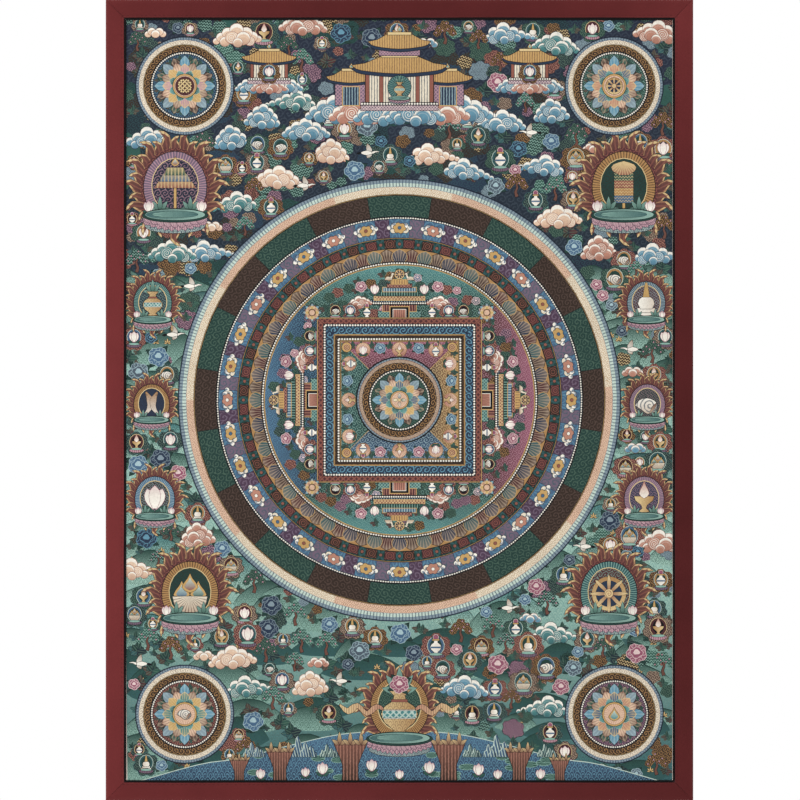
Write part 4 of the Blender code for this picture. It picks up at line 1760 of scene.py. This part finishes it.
def on_side(side, along, inward):
    """The x and z of points that lie along a side and this far in from its outer edge."""
    if side == "top":
        return along, -inward
    if side == "bottom":
        return along, inward - SHEET_HEIGHT
    if side == "left":
        return inward - SHEET_WIDTH / 2, along
    return SHEET_WIDTH / 2 - inward, along


def placed(mesh):
    """An object that shows a mesh."""
    made = bpy.data.objects.new(mesh.name, mesh)
    bpy.context.scene.collection.objects.link(made)
    return made


SIDE_ENDS = {
    "top": (-SHEET_WIDTH / 2, SHEET_WIDTH / 2),
    "bottom": (-SHEET_WIDTH / 2, SHEET_WIDTH / 2),
    "left": (0.0, -SHEET_HEIGHT),
    "right": (0.0, -SHEET_HEIGHT),
}

# Painted light and shade along each strip: how much lighter or darker it is painted at its start,
# middle and end
PAINTED_LIGHT_ALONG_STRIPS = {
    "top": (1.12, 0.78, 1.12),
    "bottom": (1.16, 1.02, 0.82),
    "left": (1.14, 1.50, 1.32),
    "right": (1.28, 0.71, 0.90),
}

STATION_STEP = 0.0016
STITCH_PITCH = 0.0042
STITCH_LINE = 0.0152  # in from the outer edge
MITRE_GAP = 0.00002  # the mitres are sewn shut
TURNED_EDGE = 0.0004  # how round the turned-under inner edge is
LIP = BINDING_WIDTH + 0.00022  # the cloth's inner edge, pressed up to the braid

# How its stitches draw the folded cloth about: where, how far to each side, and how much
DRIFT_FROM, DRIFT_OVER, DRIFT = 0.004, 0.013, 0.00018  # the inner edge wanders
PUFF_LINE, PUFF_REACH, PUFF, PUFF_CHANGE = 0.0090, 0.0085, 0.00016, 0.00010
PUCKER_LINE, PUCKER_REACH, PUCKER = 0.0138, 0.0022, 0.00007
PULL_REACH, PULL, STITCH_PULL = 0.0010, 0.00010, 0.00016
STITCH_SUNK = 0.00018
FOLD_RUB_REACH, EDGE_RUB_REACH = 0.0016, 0.0007  # where the colour is rubbed off


def bell(off, reach):
    """1 on a line, falling softly to nothing on both sides."""
    return np.exp(-(off / reach) ** 2)


def folded_section():
    """The binding's section as (inward, back) points, finer than its solid and in the same place.

    The cloth's turned-under edge shows as a round lip with a slit, on both legs.
    """
    half_turn = np.linspace(0, math.pi, 11)
    thick = BINDING_FACE - SEWN_FACE
    lip = LIP - TURNED_EDGE
    mid = (BINDING_FACE + SEWN_FACE) / 2
    face = [LIP - s * MM for s in (0.9, 1.4, 1.8, 2.4, 3.6, 5.6, 8.0, 10.4, 12.8)]
    outer = [(LIP, -mid - 0.32 * thick), (lip, -BINDING_FACE)]
    outer += [(i, -BINDING_FACE) for i in face]
    outer += [(CANVAS_INSET - BINDING_FACE * math.sin(t), -BINDING_FACE * math.cos(t))
              for t in half_turn]
    outer += [(i, BINDING_FACE) for i in face[::-1]]
    outer += [(lip, BINDING_FACE), (LIP, mid + 0.32 * thick)]
    inner = [(LIP - 0.0005, mid), (LIP, mid - 0.32 * thick),
             (LIP - 0.0002, SEWN_FACE)]
    inner += [(CANVAS_INSET - SEWN_FACE * math.sin(t), SEWN_FACE * math.cos(t))
              for t in half_turn[::2]]
    inner += [(LIP - 0.0002, -SEWN_FACE), (LIP, -mid + 0.32 * thick),
              (LIP - 0.0005, -mid)]
    return np.array(outer + inner), len(outer)


def soft_noise(chance, length, coarse):
    """Smooth random values from -1 to 1 along a strip."""
    marks = [chance.uniform(-1, 1) for _ in range(int(length / coarse) + 3)]
    return lambda s: np.interp(s, np.arange(len(marks)) * coarse, marks)


def binding(side, cloth, seed):
    """One strip folded round an edge of the canvas, drawn down a little by its stitches."""
    chance = random.Random(seed)
    first, last = SIDE_ENDS[side]
    onward = math.copysign(1.0, last - first)
    length = abs(last - first)
    steps = round(length / STATION_STEP)
    section, outer = folded_section()
    edge_drift, swell, pucker = (soft_noise(chance, length, c) for c in (0.031, 0.019, 0.0021))
    nearest = section[:, 0] + MITRE_GAP
    low, middle, high = PAINTED_LIGHT_ALONG_STRIPS[side]
    rings, painted_light_shares, rubs = [], [], []
    for station in np.linspace(0, length, steps + 1):
        s = np.clip(station, nearest, length - nearest)
        inward, back = section[:, 0].copy(), section[:, 1].copy()
        inward -= np.clip((inward - DRIFT_FROM) / DRIFT_OVER, 0, 1) * DRIFT * (1 + edge_drift(s))
        stitch = 0.5 + 0.5 * np.cos(2 * np.pi * s / STITCH_PITCH)
        out = ridge((inward - PUFF_LINE) / PUFF_REACH) * (PUFF + PUFF_CHANGE * swell(s))
        out += bell(inward - PUCKER_LINE, PUCKER_REACH) * PUCKER * pucker(s)
        out -= bell(inward - STITCH_LINE, PULL_REACH) * (PULL + STITCH_PULL * stitch)
        out[outer:] = 0
        back += np.sign(back) * out
        x, z = on_side(side, first + onward * s, inward)
        rings.append(np.stack([x, back - forward(x, z), z], axis=1))
        share = s / length
        # Painted light and shade: the strip's colour made lighter or darker along its length
        painted_light_shares.extend(low + (4 * middle - 3 * low - high) * share
                     + 2 * (low + high - 2 * middle) * share**2)
        rubs.extend(bell(inward, FOLD_RUB_REACH) * 0.55
                    + bell(inward - BINDING_WIDTH, EDGE_RUB_REACH) * 0.35)
    count = len(section)
    at = np.arange(len(rings) * count).reshape(len(rings), count)
    after = np.roll(at, -1, axis=1)
    sides = np.stack([at[:-1], after[:-1], after[1:], at[1:]], axis=-1).reshape(-1, 4)
    mesh = bpy.data.meshes.new(f"binding_{side}_cloth")
    mesh.from_pydata(np.concatenate(rings).tolist(), [], sides.tolist())
    for name, values in (("painted_light", painted_light_shares), ("rubbed", rubs)):
        mesh.attributes.new(name, "FLOAT", "POINT").data.foreach_set("value", values)
    closed = bmesh.new()
    closed.from_mesh(mesh)
    bmesh.ops.remove_doubles(closed, verts=closed.verts, dist=1e-7)
    bmesh.ops.holes_fill(closed, edges=[e for e in closed.edges if e.is_boundary], sides=0)
    bmesh.ops.recalc_face_normals(closed, faces=closed.faces)
    closed.to_mesh(mesh)
    closed.free()
    mesh.shade_smooth()
    mesh.materials.append(cloth)
    return placed(mesh)


def side_spots(side, s, inward, back):
    """Points at these distances along a side, this far in and this far back."""
    first, last = SIDE_ENDS[side]
    x, z = on_side(side, first + math.copysign(1.0, last - first) * s, np.full(len(s), inward))
    return np.stack([x, back - forward(x, z), z], axis=1)


# ---------------------------------------------------------------- stitches and braid


def thread_turns(material):
    """A tree that lays a rounded turn of thread on every point, headed and leaning as it says."""
    tree = bpy.data.node_groups.new("thread turns", "GeometryNodeTree")
    for way in ("INPUT", "OUTPUT"):
        tree.interface.new_socket("Geometry", in_out=way, socket_type="NodeSocketGeometry")
    sizes = {"Length": 0.0025, "Width": 0.0005, "Height": 0.0004, "Heading": 0.0, "Slant": 0.0,
             "Unevenness": 0.1}
    for name, value in sizes.items():
        socket = tree.interface.new_socket(name, in_out="INPUT", socket_type="NodeSocketFloat")
        socket.default_value = value

    def add(kind, **values):
        node = tree.nodes.new(kind)
        for name, value in values.items():
            feed(tree, node.inputs[name.replace("_", " ")], value)
        return node

    given = tree.nodes.new("NodeGroupInput").outputs
    size = {name: Term(tree, given[name]) for name in sizes}
    lean = add("GeometryNodeInputNamedAttribute", Name="lean")
    uneven = add("FunctionNodeRandomValue", Min=-1.0, Max=1.0, Seed=7)
    uneven = Term(tree, uneven.outputs[1]) * size["Unevenness"]
    turn = size["Heading"] + Term(tree, lean.outputs[0]) * size["Slant"] + uneven * 0.6
    ball = add("GeometryNodeMeshUVSphere", Segments=6, Rings=5, Radius=0.5)
    sizing = add("ShaderNodeCombineXYZ", X=size["Length"] * (uneven * 0.5 + 1.0),
                 Y=size["Height"] * (uneven + 1.0), Z=size["Width"])
    turning = add("ShaderNodeCombineXYZ", Y=turn)
    laid = add("GeometryNodeInstanceOnPoints", Points=given["Geometry"],
               Instance=ball.outputs["Mesh"], Rotation=turning.outputs[0],
               Scale=sizing.outputs[0])
    real = add("GeometryNodeRealizeInstances", Geometry=laid.outputs[0])
    smooth_turns = add("GeometryNodeSetShadeSmooth", Geometry=real.outputs[0])
    dyed = add("GeometryNodeSetMaterial", Geometry=smooth_turns.outputs[0], Material=material)
    tree.links.new(dyed.outputs[0], tree.nodes.new("NodeGroupOutput").inputs[0])
    return tree


def laid_turns(name, tree, spots, leans, **sizes):
    """A plain mesh of thread turns, one on each spot."""
    mesh = bpy.data.meshes.new(f"{name}_spots")
    mesh.from_pydata(spots.tolist(), [], [])
    mesh.attributes.new("lean", "FLOAT", "POINT").data.foreach_set("value", leans)
    carrier = placed(mesh)
    modifier = carrier.modifiers.new("turns", "NODES")
    modifier.node_group = tree
    for item in tree.interface.items_tree:
        if item.in_out == "INPUT" and item.name in sizes:
            modifier[item.identifier] = sizes[item.name]
    graph = bpy.context.evaluated_depsgraph_get()
    made = bpy.data.meshes.new_from_object(carrier.evaluated_get(graph), depsgraph=graph)
    bpy.data.objects.remove(carrier, do_unlink=True)
    made.name = name
    return made


HEADING = {"top": 0.0, "bottom": 0.0, "left": math.pi / 2, "right": math.pi / 2}


def along_side(side, inward, back, pitch, shift=0.0):
    """Points at an even pitch along a side, from mitre to mitre."""
    first, last = SIDE_ENDS[side]
    s = np.arange(inward + MM + shift, abs(last - first) - inward - MM, pitch)
    return side_spots(side, s, inward, back)


def stitches(side, tree):
    """Running stitches that hold the turned edge, on the front and the back."""
    first, last = SIDE_ENDS[side]
    s = np.arange(4, int(abs(last - first) / STITCH_PITCH) - 3) * STITCH_PITCH
    sunk = BINDING_FACE - STITCH_SUNK
    spots = np.concatenate([side_spots(side, s, STITCH_LINE, back) for back in (-sunk, sunk)])
    return placed(laid_turns(f"stitches_{side}", tree, spots, np.zeros(len(spots)),
                             Length=0.0027, Width=0.00046, Height=0.00040,
                             Heading=HEADING[side]))


BRAID_MIDDLE = BINDING_WIDTH + SEWN_GAP + BRAID_WIDTH / 2
BRAID_BACK = -0.00135
BRAID_PITCH = 0.00118


def braid(side, tree, material):
    """A flat plait: two rows of turns that lean towards each other, over a thin core."""
    rows, leans = [], []
    for row in (-1, 1):
        spots = along_side(side, BRAID_MIDDLE + row * 0.00043, BRAID_BACK, BRAID_PITCH,
                           BRAID_PITCH / 2 * (row > 0))
        rows.append(spots)
        leans.extend([float(row)] * len(spots))
    mesh = laid_turns(f"braid_{side}_plait", tree, np.concatenate(rows), leans,
                      Length=0.00152, Width=0.00088, Height=0.00095,
                      Heading=HEADING[side], Slant=0.60, Unevenness=0.12)
    joined = bmesh.new()
    joined.from_mesh(mesh)
    core = along_side(side, BRAID_MIDDLE, -0.00105, 0.004)
    ahead = core[-1] - core[0]
    wide = np.cross(ahead / np.linalg.norm(ahead), [0, 1, 0]) * BRAID_WIDTH * 0.47
    deep = np.array([0, 0.00022, 0])
    rings = [[joined.verts.new(p + a * wide + b * deep) for a, b in
              ((-1, -1), (1, -1), (1, 1), (-1, 1))] for p in core]
    for near, far in zip(rings, rings[1:]):
        for i in range(4):
            joined.faces.new((near[i], near[i - 1], far[i - 1], far[i]))
    joined.faces.new(rings[0])
    joined.faces.new(rings[-1][::-1])
    bmesh.ops.recalc_face_normals(joined, faces=joined.faces)
    for face in joined.faces:
        face.material_index = 0
    joined.to_mesh(mesh)
    joined.free()
    mesh.materials.clear()
    mesh.materials.append(material)
    return placed(mesh)


# ---------------------------------------------------------------- light and view


CAMERA_AWAY = 4.0
FLOOR_LEVEL = -1.15
SURROUND_LIGHT = 0.74
LAMP_ENERGY = 26.0
LAMP_PLACE = (-1.7, -2.0, 1.2)


def set_view():
    """A long lens, straight on, that takes in just the height of the sheet."""
    camera = bpy.data.objects.new("camera", bpy.data.cameras.new("camera"))
    bpy.context.scene.collection.objects.link(camera)
    camera.data.sensor_width = 36.0
    camera.data.lens = camera.data.sensor_width * CAMERA_AWAY / (SHEET_HEIGHT * 0.9988)
    camera.location = (0.0005, -CAMERA_AWAY, SHEET_MIDDLE)
    camera.rotation_euler = (math.pi / 2, 0, 0)
    bpy.context.scene.camera = camera


def set_light():
    """Even white light from all round, with a soft lamp high on the left."""
    scene = bpy.context.scene
    scene.view_settings.view_transform = "Standard"
    world = bpy.data.worlds.new("white surround")
    world.use_nodes = True
    scene.world = world
    tree = world.node_tree
    even = tree.nodes["Background"]
    seen = tree.nodes.new("ShaderNodeBackground")
    for background, strength in ((even, SURROUND_LIGHT), (seen, 1.0)):
        background.inputs["Color"].default_value = (1, 1, 1, 1)
        background.inputs["Strength"].default_value = strength
    either = tree.nodes.new("ShaderNodeMixShader")
    rays = tree.nodes.new("ShaderNodeLightPath")
    for slot, source in zip(either.inputs, (rays.outputs["Is Camera Ray"], even.outputs[0],
                                            seen.outputs[0])):
        tree.links.new(source, slot)
    tree.links.new(either.outputs[0], tree.nodes["World Output"].inputs["Surface"])
    lamp = bpy.data.objects.new("key lamp", bpy.data.lights.new("key lamp", "AREA"))
    lamp.data.size = 1.0
    lamp.data.energy = LAMP_ENERGY
    lamp.location = LAMP_PLACE
    aim = Vector((0, 0, SHEET_MIDDLE)) - lamp.location
    lamp.rotation_euler = aim.to_track_quat("-Z", "Y").to_euler()
    scene.collection.objects.link(lamp)


def floor():
    """A pale floor well below the hanging, which the straight view doesn't show."""
    mesh = bpy.data.meshes.new("floor")
    mesh.from_pydata([(x, y, FLOOR_LEVEL) for x, y in ((-2, -2), (2, -2), (2, 2), (-2, 2))], [],
                     [(0, 1, 2, 3)])
    material, tree, shader, place = surface("pale floor", Roughness=0.9)
    feed(tree, shader.inputs["Base Color"],
         even_tone(tree, noise(tree, place, 3.0) * 0.06 + 0.74))
    mesh.materials.append(material)
    placed(mesh)


# ---------------------------------------------------------------- the hanging put together


def put_together():
    """Paint, dress and hang the whole thing, attach its pieces to the root body and hide the solids
    they show.
    """
    set_view()
    set_light()
    floor()
    paint_everything()
    canvas = build_canvas(painted_shapes(), painted_cotton())
    red = red_cloth()
    sewing = thread_turns(thread_material("dark red sewing thread", SEWING_RED, 0.75))
    black = thread_material("black braid", BRAID_BLACK, 0.7)
    plaiting = thread_turns(black)
    bindings, sewn, braids = {}, {}, {}
    for seed, side in enumerate(SIDE_ENDS):
        bindings[side] = binding(side, red, 100 + seed)
        sewn[side] = stitches(side, sewing)
        braids[side] = braid(side, plaiting, black)
    for piece in (canvas, *bindings.values(), *sewn.values(), *braids.values()):
        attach(piece, "root")
    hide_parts("painted_canvas")
    for side in SIDE_ENDS:
        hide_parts(f"binding_{side}")
        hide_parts(f"braid_{side}")


put_together()
